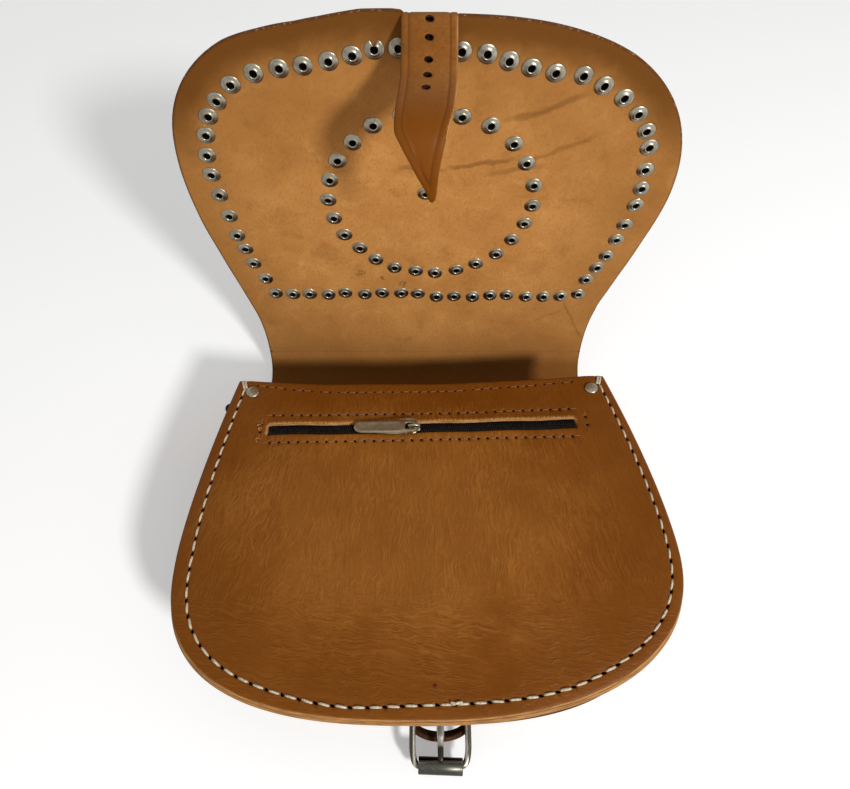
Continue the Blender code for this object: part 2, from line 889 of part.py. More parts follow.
def side_tab_eye(side):
    reach = side_tab_reach_left if side < 0 else side_tab_reach_right
    y = mouth_y - side_tab_loop_below_mouth
    return Vector((side * (side_wall_point(y, seam_rim_width) + reach), y))


def make_side_tab(side, word):
    """A folded leather tab on the gusset's side, the rivet that holds it, and its ring."""
    middle = bag_depth / 2
    stand_off = fit_gap + tab_leather / 2
    path = []
    for y in (side_tab_base_start, side_tab_base_end):
        x = side * side_wall_point(y, seam_rim_width)
        path.append(Vector((x, y)) + side_normal(y, side).xy * stand_off)
    eye = side_tab_eye(side)
    outline = strip_with_loop(path, eye, ring_bore_radius + loop_wall, tab_leather)
    low, high = middle - side_tab_width / 2, middle + side_tab_width / 2
    tab = add_object("side_tab_" + word, extrude_outline(outline, low, high, along_z), dark_leather)
    bore = ((ring_bore_radius, low - cut_overrun), (ring_bore_radius, high + cut_overrun))
    combine(tab, turned_mesh(bore, round_sides, (eye.x, eye.y, 0), (0, 0, 1)), "DIFFERENCE", dark_leather)
    base, axis = side_rivet_place(side)
    grip = gusset_thickness + fit_gap + tab_leather
    combine(tab, rivet_hole(base, axis, grip), "DIFFERENCE", dark_leather)
    make_rivet("side_tab_rivet_" + word, base, axis, grip)

    points = []
    steps = 9
    for i in range(steps + 1):
        angle = math.pi * i / steps
        points.append((-ring_depth * math.sin(angle) ** 0.8, ring_half_width * math.cos(angle)))
    points = [(0, ring_half_width / 2)] + points + [(0, -ring_half_width / 2)]
    turn = Matrix.Rotation(ring_turn_left if side < 0 else ring_turn_right, 3, "Z")
    wire = [tuple(turn @ Vector((0, y, z))) for y, z in points]
    add_wire("side_ring_" + word, wire, ring_wire_radius, (eye.x, eye.y, middle))


def add_wire(name, points, radius, place):
    """A closed loop of round wire."""
    curve = bpy.data.curves.new(name, "CURVE")
    curve.dimensions = "3D"
    curve.bevel_depth = radius
    curve.bevel_resolution = 2
    spline = curve.splines.new("POLY")
    spline.points.add(len(points) - 1)
    for target, point in zip(spline.points, points):
        target.co = (*point, 1)
    spline.use_cyclic_u = True
    curve.materials.append(nickel)
    obj = bpy.data.objects.new(name, curve)
    obj.location = place
    bpy.context.scene.collection.objects.link(obj)
    return obj


def pin_place():
    y = -mouth_y + buckle_pin_below_panel
    return Vector((buckle_offset, y, buckle_pin_height))


def make_buckle_tab():
    """The folded tab on the bottom wall, with a slot for the tongue, and its two rivets."""
    pin = pin_place()
    stand_off = fit_gap + tab_leather / 2
    path = [Vector((sloped_wall_y(z) - stand_off, z)) for z in (buckle_tab_top, buckle_tab_turn)]
    outline = strip_with_loop(path, pin.yz, frame_bore_radius + loop_wall, tab_leather)
    low, high = pin.x - buckle_tab_half_width, pin.x + buckle_tab_half_width
    tab = add_object("buckle_tab", extrude_outline(outline, low, high, along_x), dark_leather)
    bore = ((frame_bore_radius, low - cut_overrun), (frame_bore_radius, high + cut_overrun))
    bore_mesh = turned_mesh(bore, round_sides, (0, pin.y, pin.z), (1, 0, 0))
    combine(tab, bore_mesh, "DIFFERENCE", dark_leather)
    reach = tongue_eye_radius + loop_wall + cut_overrun
    slot_low = (pin.x - buckle_tongue_slot / 2, pin.y - reach, pin.z - reach)
    slot_high = (pin.x + buckle_tongue_slot / 2, pin.y + tongue_eye_radius + fit_gap, pin.z + reach)
    combine(tab, box_mesh(slot_low, slot_high), "DIFFERENCE", dark_leather)
    grip = gusset_thickness + fit_gap + tab_leather
    for word, height in zip(("lower", "upper"), buckle_rivet_heights):
        base, axis = buckle_rivet_place(height)
        combine(tab, rivet_hole(base, axis, grip), "DIFFERENCE", dark_leather)
        make_rivet("buckle_tab_rivet_" + word, base, axis, grip)


def make_buckle():
    pin = pin_place()
    corner = frame_corner
    points = []
    half_points = (
        (0, 0),
        (frame_half_width - corner, 0),
        (frame_half_width - corner * 0.3, -corner * 0.3),
        (frame_half_width, -corner),
        (frame_half_width, -frame_straight_length),
        (frame_half_width - corner * 0.1, -frame_straight_length - corner),
        (frame_far_half_width + corner * 0.2, -frame_length + corner),
        (frame_far_half_width - corner * 0.3, -frame_length + corner * 0.3),
        (frame_far_half_width - corner, -frame_length),
    )
    right = [Vector((x, y, 0)) for x, y in half_points]
    left = [Vector((-x, y, 0)) for x, y in reversed(half_points[1:])]
    points = right + left
    droop = Matrix.Rotation(frame_droop_angle, 3, "X")
    wire = [tuple(droop @ p) for p in points]
    add_wire("buckle_frame", wire, frame_wire_radius, pin)
    far = pin + droop @ Vector((0, -frame_length, 0))
    roller = tube_mesh(
        roller_radius, roller_bore_radius, -roller_half_length, roller_half_length, round_sides,
        (0, 0, 0), (1, 0, 0),
    )
    roller_object = add_object("buckle_roller", roller, nickel, smooth=True)
    roller_object.location = far

    eye = tube_mesh(
        tongue_eye_radius, frame_bore_radius, -tongue_width / 2, tongue_width / 2, round_sides,
        (0, 0, 0), (1, 0, 0),
    )
    tongue = add_object("buckle_tongue", eye, nickel)
    tongue.location = pin
    rest = roller_radius + fit_gap
    start_low = frame_bore_radius + fit_gap / 2
    outline = (
        (-fit_gap, start_low),
        (-frame_length - tongue_overreach, rest),
        (-frame_length - tongue_overreach, rest + tongue_thickness / 2),
        (-frame_length, rest + tongue_thickness),
        (-fit_gap, tongue_eye_radius - fit_gap),
    )
    turned = []
    for y, z in outline:
        point = droop @ Vector((0, y, z))
        turned.append((point.y, point.z))
    arm = extrude_outline(turned, -tongue_width / 2, tongue_width / 2, along_x)
    tool = combine(tongue, arm, "UNION", nickel)
    tool.location = pin


def make_keeper():
    """A leather band that stands out from the bottom wall, for the strap's end."""
    pin = pin_place()
    middle_half = keeper_half_width + keeper_thickness / 2
    low = back_rim_top + thread_height + fit_gap * 2
    foot_y = sloped_wall_y(back_rim_top) - fit_gap * 3
    shoulder_y = -mouth_y + back_panel_shortening - fit_gap
    line = [Vector((middle_half, foot_y))]
    steps = 8
    for i in range(steps + 1):
        angle = math.pi * i / steps
        line.append(Vector((middle_half * math.cos(angle), shoulder_y - keeper_reach * math.sin(angle))))
    line.append(Vector((-middle_half, foot_y)))
    outer, inner = [], []
    last = len(line) - 1
    for i, point in enumerate(line):
        tangent = (line[min(i + 1, last)] - line[max(i - 1, 0)]).normalized()
        if i in (0, last):
            tangent = Vector((0, -1 if i == 0 else 1))
        normal = Vector((-tangent.y, tangent.x))
        outer.append(point - normal * keeper_thickness / 2)
        inner.append(point + normal * keeper_thickness / 2)
    outline = [(pin.x + p.x, p.y) for p in outer + list(reversed(inner))]
    add_object("strap_keeper", extrude_outline(outline, low, low + keeper_height, along_z), dark_leather)


make_back_panel()
make_front_panel()
make_gusset()
make_threads()
make_facing_and_pouch()
make_zip_rows()
make_slider_and_puller()
for rivet_word, (rivet_x, rivet_y) in zip(("left", "right"), corner_rivet_places()):
    stack = front_top - rim_under
    make_rivet("corner_rivet_" + rivet_word, (rivet_x, rivet_y, rim_under), (0, 0, 1), stack)
make_neck()
make_flap()
make_side_tab(-1, "left")
make_side_tab(1, "right")
make_buckle_tab()
make_buckle()
make_keeper()
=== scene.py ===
import math
import bmesh
import bpy
import numpy as np
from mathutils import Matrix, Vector
from mathutils.geometry import delaunay_2d_cdt


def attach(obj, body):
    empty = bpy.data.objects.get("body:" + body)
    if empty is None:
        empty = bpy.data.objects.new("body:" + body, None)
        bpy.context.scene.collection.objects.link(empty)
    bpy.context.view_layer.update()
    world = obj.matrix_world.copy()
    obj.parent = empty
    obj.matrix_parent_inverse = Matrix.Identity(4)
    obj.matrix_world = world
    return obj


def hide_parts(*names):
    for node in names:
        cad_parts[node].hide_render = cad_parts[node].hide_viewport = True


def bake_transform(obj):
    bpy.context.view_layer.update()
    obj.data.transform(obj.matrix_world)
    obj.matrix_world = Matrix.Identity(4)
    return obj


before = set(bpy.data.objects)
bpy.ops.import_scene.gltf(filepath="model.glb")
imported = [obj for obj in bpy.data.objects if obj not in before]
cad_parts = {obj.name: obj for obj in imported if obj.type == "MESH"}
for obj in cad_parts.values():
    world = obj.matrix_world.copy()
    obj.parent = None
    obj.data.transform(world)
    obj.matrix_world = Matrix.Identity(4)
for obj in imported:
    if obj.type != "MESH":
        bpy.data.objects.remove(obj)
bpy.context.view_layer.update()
mm = 0.001  # every shape below is worked out in millimetres
tau = math.tau

# the view and its one lamp
view = {
    "place": (0, -0.1316, 0.4005),
    "pitch": 32.57,
    "lens": 28.1,
    "sensor": 36,
    "nearest": 0.01,
    "keyPlace": (0.85, -1.05, 1.10),
    "keySize": 0.24,
    "keyPower": 25,
    "aim": (0, 0.06, 0.08),
    "ambient": 0.42,
    "floorColour": (0.88, 0.876, 0.87),
    "floorGlow": 0.24,
    "backdrop": (0.8, 0.8, 0.8),
}

scene = bpy.context.scene
scene.view_settings.view_transform = "Standard"
cameraData = bpy.data.cameras.new("camera")
cameraData.lens = view["lens"]
cameraData.sensor_width = view["sensor"]
cameraData.clip_start = view["nearest"]
camera = bpy.data.objects.new("camera", cameraData)
camera.location = view["place"]
camera.rotation_euler = (math.radians(view["pitch"]), 0, 0)
scene.collection.objects.link(camera)
scene.camera = camera


def addLamp(name, place, aim, size, power):
    lamp = bpy.data.lights.new(name, "AREA")
    lamp.shape = "DISK"
    lamp.size = size
    lamp.energy = power
    holder = bpy.data.objects.new(name, lamp)
    holder.location = place
    holder.rotation_euler = (Vector(aim) - Vector(place)).to_track_quat("-Z", "Y").to_euler()
    scene.collection.objects.link(holder)


addLamp("key", view["keyPlace"], view["aim"], view["keySize"], view["keyPower"])


class Wire:
    # an output socket: an expression on it adds Math nodes
    def __init__(self, nodes, socket):
        self.nodes = nodes
        self.socket = socket

    def maths(self, operation, *values):
        return self.nodes.add("Math", {"operation": operation}, values)

    def __add__(self, other):
        return self.maths("ADD", self, other)

    def __radd__(self, other):
        return self.maths("ADD", other, self)

    def __sub__(self, other):
        return self.maths("SUBTRACT", self, other)

    def __rsub__(self, other):
        return self.maths("SUBTRACT", other, self)

    def __mul__(self, other):
        return self.maths("MULTIPLY", self, other)

    def __rmul__(self, other):
        return self.maths("MULTIPLY", other, self)


class Nodes:
    # a node tree with the one method that adds any node
    def __init__(self, tree):
        self.tree = tree

    def feed(self, socket, value):
        if isinstance(value, Wire):
            self.tree.links.new(value.socket, socket)
        elif isinstance(value, (tuple, list)) and socket.type == "RGBA":
            socket.default_value = (*value, 1)[:4]
        else:
            socket.default_value = value

    def add(self, kind, settings=None, values=(), out=0):
        node = self.tree.nodes.new("ShaderNode" + kind)
        for key, value in (settings or {}).items():
            if key == "stops":
                ramp = node.color_ramp.elements
                while len(ramp) < len(value):
                    ramp.new(0.5)
                for stop, (place, colour) in zip(ramp, value):
                    stop.position = place
                    stop.color = (*colour, 1)
            else:
                setattr(node, key, value)
        pairs = values.items() if isinstance(values, dict) else enumerate(values)
        for key, value in pairs:
            self.feed(node.inputs[key], value)
        return Wire(self, node.outputs[out])


class Finish(Nodes):
    # one material: noise and cell sizes are in the units of the vector they are given
    def __init__(self, name, rough=0.5, metal=0, specular=0.3):
        self.material = bpy.data.materials.new(name)
        self.material.use_nodes = True
        super().__init__(self.material.node_tree)
        self.shader = self.tree.nodes["Principled BSDF"]
        self.wear(Roughness=rough, Metallic=metal, Specular_IOR_Level=specular)

    def wear(self, **values):
        for key, value in values.items():
            self.feed(self.shader.inputs[key.replace("_", " ")], value)
        return self

    def mark(self, name, out="Vector"):
        return self.add("Attribute", {"attribute_name": name}, out=out)

    def onObject(self):
        return self.add("TexCoord", out="Object")

    def part(self, vector, axis):
        return self.add("SeparateXYZ", None, [vector], out="XYZ".index(axis))

    def stretch(self, vector, scale, turn=0):
        if turn:
            vector = self.add("Mapping", None, {"Vector": vector, "Rotation": (0, 0, math.radians(turn))})
        return self.add("Mapping", None, {"Vector": vector, "Scale": scale})

    def noise(self, vector, size, detail=3, rough=0.55, twist=0):
        values = {"Vector": vector, "Scale": 1 / size, "Detail": detail, "Roughness": rough}
        return self.add("TexNoise", None, {**values, "Distortion": twist})

    def cells(self, vector, size, feature):
        values = {"Vector": vector, "Scale": 1 / size}
        return self.add("TexVoronoi", {"feature": feature}, values, out="Distance")

    def ease(self, value, low, high):
        values = {"Value": value, "From Min": low, "From Max": high}
        return self.add("MapRange", {"interpolation_type": "SMOOTHSTEP"}, values)

    def ramp(self, value, stops):
        return self.add("ValToRGB", {"stops": stops}, [value])

    def mix(self, share, a, b):
        settings = {"data_type": "RGBA", "blend_type": "MIX", "clamp_factor": True}
        return self.add("Mix", settings, {0: share, 6: a, 7: b}, out=2)

    def tints(self, colour, *rows):
        # each row lays a tint over the colour, at its share where a value eases from low to high
        for value, low, high, share, tint in rows:
            colour = self.mix(self.ease(value, low, high) * share, colour, tint)
        return colour

    def bump(self, height, deep, strength):
        return self.add("Bump", None, {"Strength": strength, "Distance": deep * mm, "Height": height})

    def oval(self, x, y, centre, reach):
        # squared distance from the centre, 1 at the reach
        across, down = (x - centre[0]) * (1 / reach[0]), (y - centre[1]) * (1 / reach[1])
        return across * across + down * down

    def spot(self, x, y, centre, inner, outer):
        return self.ease(self.oval(x, y, centre, (1, 1)), outer**2, inner**2)

    def stroke(self, x, y, start, end, wide, bend=0):
        # a soft line from start to end, bent sideways by a wire
        runX, runY = end[0] - start[0], end[1] - start[1]
        length = math.hypot(runX, runY)
        dx, dy = x - start[0], y - start[1]
        along = dx * (runX / length) + dy * (runY / length)
        off = dx * (runY / length) - dy * (runX / length) + bend
        edge = self.ease(off * off, wide**2, 0)
        return edge * self.ease(along, 0, length * 0.2) * self.ease(along, length, length * 0.7)


wrinkleForm = {
    "turns": (-2, 12, -16, 82),  # degrees, for the middle, the right, the left and the foot
    "right": (42, 74),
    "left": (-52, -84),
    "foot": (118, 146),
    "lineSize": 1.05,
    "netSize": 1.5,
}
frontMarks = {
    # the middle and reach of the painted light and shade on the front, the painted shade under the mouth,
    # then a small dark dot
    "middle": (-8, 84),
    "reach": (96, 72),
    "mouthShade": (30, 8),
    "dotAt": (4.6, 171.6),
    "dotColour": (0.12, 0.006, 0.003),
}


def wrinkles(f, hide, u, t):
    # soft lines and a net of sharp ones, each running another way by the part of the front
    sway = (f.noise(hide, 16, 2) - 0.5) * 9
    swayed = f.add("CombineXYZ", None, [u + sway, t + sway, 0])
    fields = []
    for turn in wrinkleForm["turns"]:
        soft = f.noise(f.stretch(swayed, (1, 0.07, 1), turn), wrinkleForm["lineSize"], 4, 0.6, 0.35)
        edges = f.cells(f.stretch(swayed, (1, 0.12, 1), turn), wrinkleForm["netSize"], "DISTANCE_TO_EDGE")
        fields.append((soft, f.ease(edges, 0.13, 0.01)))
    atRight, atLeft = f.ease(u, *wrinkleForm["right"]), f.ease(u, *wrinkleForm["left"])
    atFoot = f.ease(t, *wrinkleForm["foot"])
    found = []
    for middle, right, left, foot in zip(*fields):
        lines = middle * (1 - atRight) + right * atRight
        lines = lines * (1 - atLeft) + left * atLeft
        found.append(lines * (1 - atFoot) + foot * atFoot)
    return found


def grainFinish(name, colours, streaks=True, rough=0.44, far=None, creaseAt=0):
    f = Finish(name, rough, specular=0.1)
    hide = f.mark("hide")
    rim = f.mark("rim", "Fac")
    u = f.part(hide, "X")
    t = f.part(hide, "Y")
    broad = f.noise(hide, 46, 3, 0.55)
    patch = f.noise(hide, 12, 4, 0.6, 0.4)
    fine = f.noise(hide, 2.2, 5, 0.7, 0.5)
    pores = f.noise(hide, 0.8, 2, 0.6)
    pebble = f.cells(f.stretch(hide, (1, 0.8, 1)), 1.15, "SMOOTH_F1")
    dark, middle, light = colours
    colour = f.tints(
        f.ramp(broad, ((0.24, dark), (0.5, middle), (0.78, light))),
        (patch, 0.5, 0.74, 0.2, light),
        (patch, 0.5, 0.28, 0.22, dark),
        (fine, 0.56, 0.34, 0.45, dark),
        (fine, 0.56, 0.72, 0.3, light),
        (pores, 0.5, 0.34, 0.22, dark),
    )
    height = patch * 0.4 + pebble * 0.12 + pores * 0.12
    if streaks:
        soft, net = wrinkles(f, hide, u, t)
        where = f.ease(f.noise(hide, 27, 3, 0.6), 0.36, 0.58) * 0.65 + 0.35
        netted = f.ease(f.noise(hide, 21, 3, 0.6, 0.5), 0.38, 0.62)
        # painted shade in the soft lines' creases, and a painted highlight along their ridges and along the
        # net's lines
        pale, deep = tuple(1.25 * c for c in light), tuple(0.8 * c for c in dark)
        colour = f.mix(f.ease(soft, 0.5, 0.36) * where * 0.5, colour, deep)
        colour = f.mix(f.ease(soft, 0.52, 0.64) * where * 0.4, colour, pale)
        colour = f.mix(net * netted * 0.4, colour, pale)
        height = height + soft * where * 1.4 + net * netted * 0.7
        # painted light: lighter round the front's middle, and painted shade towards its edges and under the
        # mouth
        away = f.oval(u, t, frontMarks["middle"], frontMarks["reach"])
        colour = f.tints(
            colour,
            (away, 1.1, 0, 0.4, light),
            (away, 0.5, 1.7, 0.7, dark),
            (t, *frontMarks["mouthShade"], 0.4, dark),
        )
        colour = f.mix(f.spot(u, t, frontMarks["dotAt"], 0.5, 1.3), colour, frontMarks["dotColour"])
    if far:  # another tint beyond a place along the hide
        colour = f.tints(colour, (t, *far))
    if creaseAt:  # a pressed line this far from the edge
        off = rim - creaseAt
        colour = f.tints(colour, (off * off, 0.35, 0, 0.5, tuple(0.6 * c for c in dark)))
    colour = f.tints(colour, (rim, 1.1, 0.1, 0.3, dark))
    gloss = f.ease(fine, 0.3, 0.7) * 0.12 + (rough - 0.06)
    return f.wear(Base_Color=colour, Roughness=gloss, Normal=f.bump(height, 0.34, 0.6))


fleshMarks = {
    "broad": ((0.26, (0.41, 0.172, 0.044)), (0.5, (0.49, 0.216, 0.056)), (0.74, (0.59, 0.276, 0.078))),
    "cloudDark": (0.31, 0.125, 0.032),
    "cloudPale": (0.66, 0.335, 0.105),
    "napDark": (0.28, 0.11, 0.026),
    "hairPale": (0.7, 0.42, 0.17),
    "middle": (-6, 158),
    "reach": (114, 112),
    "outerShade": (0.24, 0.10, 0.024),
    "topEdgeShade": (0.135, 0.048, 0.008),
    "footShade": (0.19, 0.078, 0.018),
    "bendShade": (0.10, 0.03, 0.003),
    "crease": (0.12, 0.045, 0.012),
    "creases": (  # start, end, width and share
        ((37, 243), (82, 261), 2.2, 0.42), ((49, 219), (92, 240), 1.9, 0.36),
        ((8, 217), (52, 224), 1.8, 0.5), ((-16, 219), (14, 215), 1.6, 0.4),
        ((30, 213), (66, 219), 2.6, 0.3), ((88, 116), (112, 72), 0.9, 0.36), ((70, 92), (96, 108), 0.8, 0.28),
    ),
    "stain": (0.08, 0.04, 0.012),
    "stains": (((-40, 137), 4.5), ((-14, 128), 3.5), ((-27, 133), 2.6)),
    "wornRim": (0.085, 0.03, 0.01),
    "rimFleck": (0.46, 0.26, 0.11),
}


def fleshFinish(name, marked=True):
    # the hide's open inner side; marked adds painted shade (away from the middle, along the top edge, at the
    # foot and the bend), creases and stains
    f = Finish(name, 0.86, specular=0.04)
    hide = f.mark("hide")
    u, s = f.part(hide, "X"), f.part(hide, "Y")
    rim = f.mark("rim", "Fac")
    broad = f.noise(hide, 55, 4, 0.6, 0.3)
    cloud = f.noise(hide, 17, 5, 0.66, 0.5)
    nap = f.noise(f.stretch(hide, (1, 0.6, 1), 12), 1.3, 4, 0.75, 0.3)
    hairs = f.noise(f.stretch(hide, (2.2, 0.35, 1), 20), 1.6, 3, 0.7, 0.6)
    colour = f.tints(
        f.ramp(broad, fleshMarks["broad"]),
        (cloud, 0.48, 0.28, 0.5, fleshMarks["cloudDark"]),
        (cloud, 0.52, 0.72, 0.45, fleshMarks["cloudPale"]),
        (nap, 0.52, 0.32, 0.42, fleshMarks["napDark"]),
        (hairs, 0.56, 0.75, 0.2, fleshMarks["hairPale"]),
    )
    height = cloud * 0.7 + nap * 0.35 + hairs * 0.25
    if marked:
        away = f.oval(u, s, fleshMarks["middle"], fleshMarks["reach"])
        colour = f.tints(colour, (away, 0.12, 1.2, 0.5, fleshMarks["outerShade"]))
        # painted shade along the flap's top edge, where the strap's shadow falls and the top leans away from
        # the light
        topEdgeShade = f.ease(rim + (cloud - 0.5) * 9, 24, 4) * f.ease(s, 200, 262)
        colour = f.tints(
            f.mix(topEdgeShade * 0.95, colour, fleshMarks["topEdgeShade"]),
            (s, 90, 62, 0.38, fleshMarks["footShade"]),
            (s, 64, 52, 0.6, fleshMarks["bendShade"]),
        )
        sway = (cloud - 0.5) * 8
        for start, end, wide, share in fleshMarks["creases"]:
            colour = f.mix(f.stroke(u, s, start, end, wide, sway) * share, colour, fleshMarks["crease"])
        blot = f.noise(hide, 2.5, 3, 0.7)
        for centre, reach in fleshMarks["stains"]:
            stain = f.spot(u, s, centre, 0.5, reach) * f.ease(blot, 0.42, 0.56)
            colour = f.mix(stain * 0.6, colour, fleshMarks["stain"])
    fleck = f.ease(f.noise(hide, 1.6, 3, 0.7), 0.56, 0.62)
    colour = f.tints(colour, (rim, 1.5, 0.2, 0.75, fleshMarks["wornRim"]))
    colour = f.mix(f.ease(rim, 0.9, 0.2) * fleck * 0.5, colour, fleshMarks["rimFleck"])
    return f.wear(Base_Color=colour, Normal=f.bump(height, 0.4, 0.6))


def edgeFinish(name, dark, light):
    # the cut edge: layers that run along it
    f = Finish(name, 0.8, specular=0.15)
    hide = f.mark("hide")
    across = f.mark("rim", "Fac") * 2.4 + f.part(hide, "Z") * 1.4
    run = f.add("CombineXYZ", None, [across, f.part(hide, "X") * 0.1, f.part(hide, "Y") * 0.1])
    layers = f.noise(run, 1.0, 4, 0.7, 0.4)
    blot = f.noise(hide, 9, 3, 0.6)
    colour = f.mix(f.ease(layers, 0.36, 0.64), dark, light)
    colour = f.tints(colour, (blot, 0.55, 0.8, 0.3, dark))
    return f.wear(Base_Color=colour, Normal=f.bump(layers, 0.3, 0.7))


def threadFinish(name, light, dark):
    f = Finish(name, 0.55, specular=0.3)
    where = f.onObject()
    ply = f.noise(where, 0.0009, 3, 0.6, 1.5)
    grime = f.noise(where, 0.006, 3, 0.6)
    colour = f.mix(f.ease(ply, 0.34, 0.62), dark, light)
    colour = f.tints(colour, (grime, 0.52, 0.75, 0.5, dark))
    return f.wear(Base_Color=colour, Normal=f.bump(ply, 0.12, 0.8))


def glintAndPatinaFinish(name, axis, centre, reach, stops, fold=False):
    # a painted highlight and painted shade that go by where the point lies across the piece, the same both
    # ways if folded, under old plating's clouds and specks
    f = Finish(name, 0.36, 1)
    hide = f.mark("hide")
    place = (f.part(hide, axis) - centre) * (1 / reach)
    if fold:
        place = f.add("Math", {"operation": "ABSOLUTE"}, [place])
    cloud = f.noise(hide, 3.2, 4, 0.65, 0.6)
    speck = f.noise(hide, 0.9, 3, 0.7)
    colour = f.tints(
        f.ramp(place + (cloud - 0.5) * 0.08, stops),
        (speck, 0.55, 0.72, 0.55, (0.05, 0.042, 0.032)),
        (cloud, 0.58, 0.74, 0.35, (0.40, 0.37, 0.30)),
    )
    return f.wear(Base_Color=colour, Normal=f.bump(cloud * 0.5 + speck * 0.5, 0.1, 0.5))


def metalFinish(name, bright, dull, rough=0.3):
    f = Finish(name, rough, 1)
    where = f.onObject()
    cloud = f.noise(where, 0.0045, 4, 0.65, 0.6)
    speck = f.noise(where, 0.0011, 3, 0.7)
    scratch = f.noise(f.stretch(where, (1, 0.08, 0.4), 30), 0.0005, 2, 0.6)
    colour = f.tints(bright, (cloud, 0.42, 0.66, 0.45, dull), (speck, 0.6, 0.74, 0.5, dull))
    gloss = f.ease(cloud, 0.3, 0.7) * 0.2 + (rough - 0.06)
    height = scratch * 0.6 + speck * 0.6
    return f.wear(Base_Color=colour, Roughness=gloss, Normal=f.bump(height, 0.06, 0.5))


threadPitch = 0.0007  # of the zip's tapes, in metres


def clothFinish(name, dark, light):
    f = Finish(name, 0.9, specular=0.04)
    where = f.onObject()
    threads = []
    for way in "XY":
        settings = {"wave_type": "BANDS", "bands_direction": way}
        values = {"Vector": where, "Scale": 1 / threadPitch / 3.2, "Distortion": 0.4}
        threads.append(f.add("TexWave", settings, values, out="Fac"))
    weave = threads[0] * threads[1]
    lint = f.noise(where, 0.003, 4, 0.7)
    colour = f.mix(weave * 0.8 + lint * 0.2, dark, light)
    return f.wear(Base_Color=colour, Normal=f.bump(weave, 0.12, 0.7))


def nylonFinish(name, dark, light):
    f = Finish(name, 0.5, specular=0.12)
    where = f.onObject()
    dust = f.noise(where, 0.004, 4, 0.7)
    colour = f.tints(dark, (dust, 0.45, 0.75, 0.6, light))
    return f.wear(Base_Color=colour, Normal=f.bump(dust, 0.08, 0.4))


# colours from dark to light, then the finishes
frontColours = ((0.150, 0.041, 0.0015), (0.215, 0.070, 0.0065), (0.300, 0.112, 0.018))
backColours = ((0.115, 0.034, 0.003), (0.175, 0.056, 0.006), (0.25, 0.088, 0.013))
strapColours = ((0.150, 0.050, 0.007), (0.235, 0.082, 0.013), (0.315, 0.122, 0.030))
soakedColours = ((0.022, 0.008, 0.004), (0.05, 0.018, 0.008), (0.10, 0.034, 0.013))
grainHide = grainFinish("grain_hide", frontColours)
outerHide = grainFinish("outer_hide", backColours, False)
strapHide = grainFinish("strap_hide", strapColours, False, 0.5, (70, 98, 0.92, (0.165, 0.044, 0.0005)), 3.3)
darkHide = grainFinish("dark_hide", soakedColours, False, 0.5)
fleshHide = fleshFinish("flesh_hide")
liningHide = fleshFinish("lining_hide", False)
rawEdge = edgeFinish("raw_edge", (0.22, 0.095, 0.026), (0.46, 0.235, 0.085))
# painted shade for the inside of the small stitch and strap holes, on their walls and closed floors
holeShade = edgeFinish("hole_shade", (0.012, 0.004, 0.002), (0.035, 0.012, 0.004))
darkEdge = edgeFinish("dark_edge", (0.03, 0.010, 0.005), (0.11, 0.04, 0.016))
flapEdge = edgeFinish("flap_edge", (0.055, 0.02, 0.007), (0.19, 0.08, 0.026))
whiteThread = threadFinish("white_thread", (0.66, 0.60, 0.47), (0.34, 0.26, 0.15))
fineThread = threadFinish("fine_thread", (0.33, 0.15, 0.075), (0.13, 0.05, 0.02))
tanThread = threadFinish("tan_thread", (0.55, 0.30, 0.09), (0.28, 0.13, 0.04))
nickel = metalFinish("nickel", (0.36, 0.33, 0.25), (0.12, 0.10, 0.07))
pullerNickel = metalFinish("puller_nickel", (0.30, 0.25, 0.165), (0.12, 0.095, 0.06))
studNickel = metalFinish("stud_nickel", (0.36, 0.33, 0.255), (0.12, 0.105, 0.075))
# the eyelets' bores: painted shade for the dark hole
studBoreShade = metalFinish("stud_bore_shade", (0.022, 0.016, 0.012), (0.008, 0.006, 0.005), 0.6)
# the frame's ramp across |x - 8|: a painted highlight on the side bars' inner half and painted shade on their
# outer half
frameGlintAndShadeStops = (
    (0, (0.10, 0.09, 0.07)), (0.74, (0.12, 0.11, 0.085)), (0.82, (0.55, 0.52, 0.44)),
    (0.855, (0.50, 0.47, 0.40)), (0.89, (0.07, 0.06, 0.045)), (1, (0.11, 0.095, 0.07)),
)
frameGlintAndPatina = glintAndPatinaFinish("frame_glint_and_patina", "X", 8, 16.3, frameGlintAndShadeStops, True)
# the roller's ramp along y: a painted highlight line between bands of painted shade and painted dark
# reflection
rollerGlintAndShadeStops = (
    (0, (0.055, 0.053, 0.043)), (0.5, (0.11, 0.108, 0.09)), (0.6, (0.12, 0.115, 0.09)),
    (0.64, (0.62, 0.59, 0.50)), (0.74, (0.55, 0.52, 0.43)), (0.79, (0.02, 0.013, 0.008)),
    (1, (0.012, 0.008, 0.006)),
)
rollerGlintAndPatina = glintAndPatinaFinish("roller_glint_and_patina", "Y", -113.15, 8.4, rollerGlintAndShadeStops)
# the tongue's ramp along y: painted shade on its bent tip and a painted highlight along its middle
tongueGlintAndShadeStops = (
    (0, (0.03, 0.026, 0.02)), (0.36, (0.04, 0.034, 0.026)), (0.42, (0.40, 0.38, 0.32)),
    (0.75, (0.50, 0.48, 0.42)), (1, (0.30, 0.27, 0.22)),
)
tongueGlintAndPatina = glintAndPatinaFinish("tongue_glint_and_patina", "Y", -111, 27, tongueGlintAndShadeStops)
zipCloth = clothFinish("zip_cloth_weave", (0.005, 0.0045, 0.0045), (0.016, 0.014, 0.014))
zipNylon = nylonFinish("zip_nylon_coil", (0.006, 0.005, 0.005), (0.026, 0.02, 0.016))
darkFinishes = (darkHide, darkHide, darkEdge)
print("finishes made")


def unit(vectors):
    return vectors / np.maximum(np.linalg.norm(vectors, axis=-1, keepdims=True), 1e-9)


def lengthAlong(line):
    return np.concatenate([[0], np.cumsum(np.linalg.norm(np.diff(line, axis=0), axis=1))])


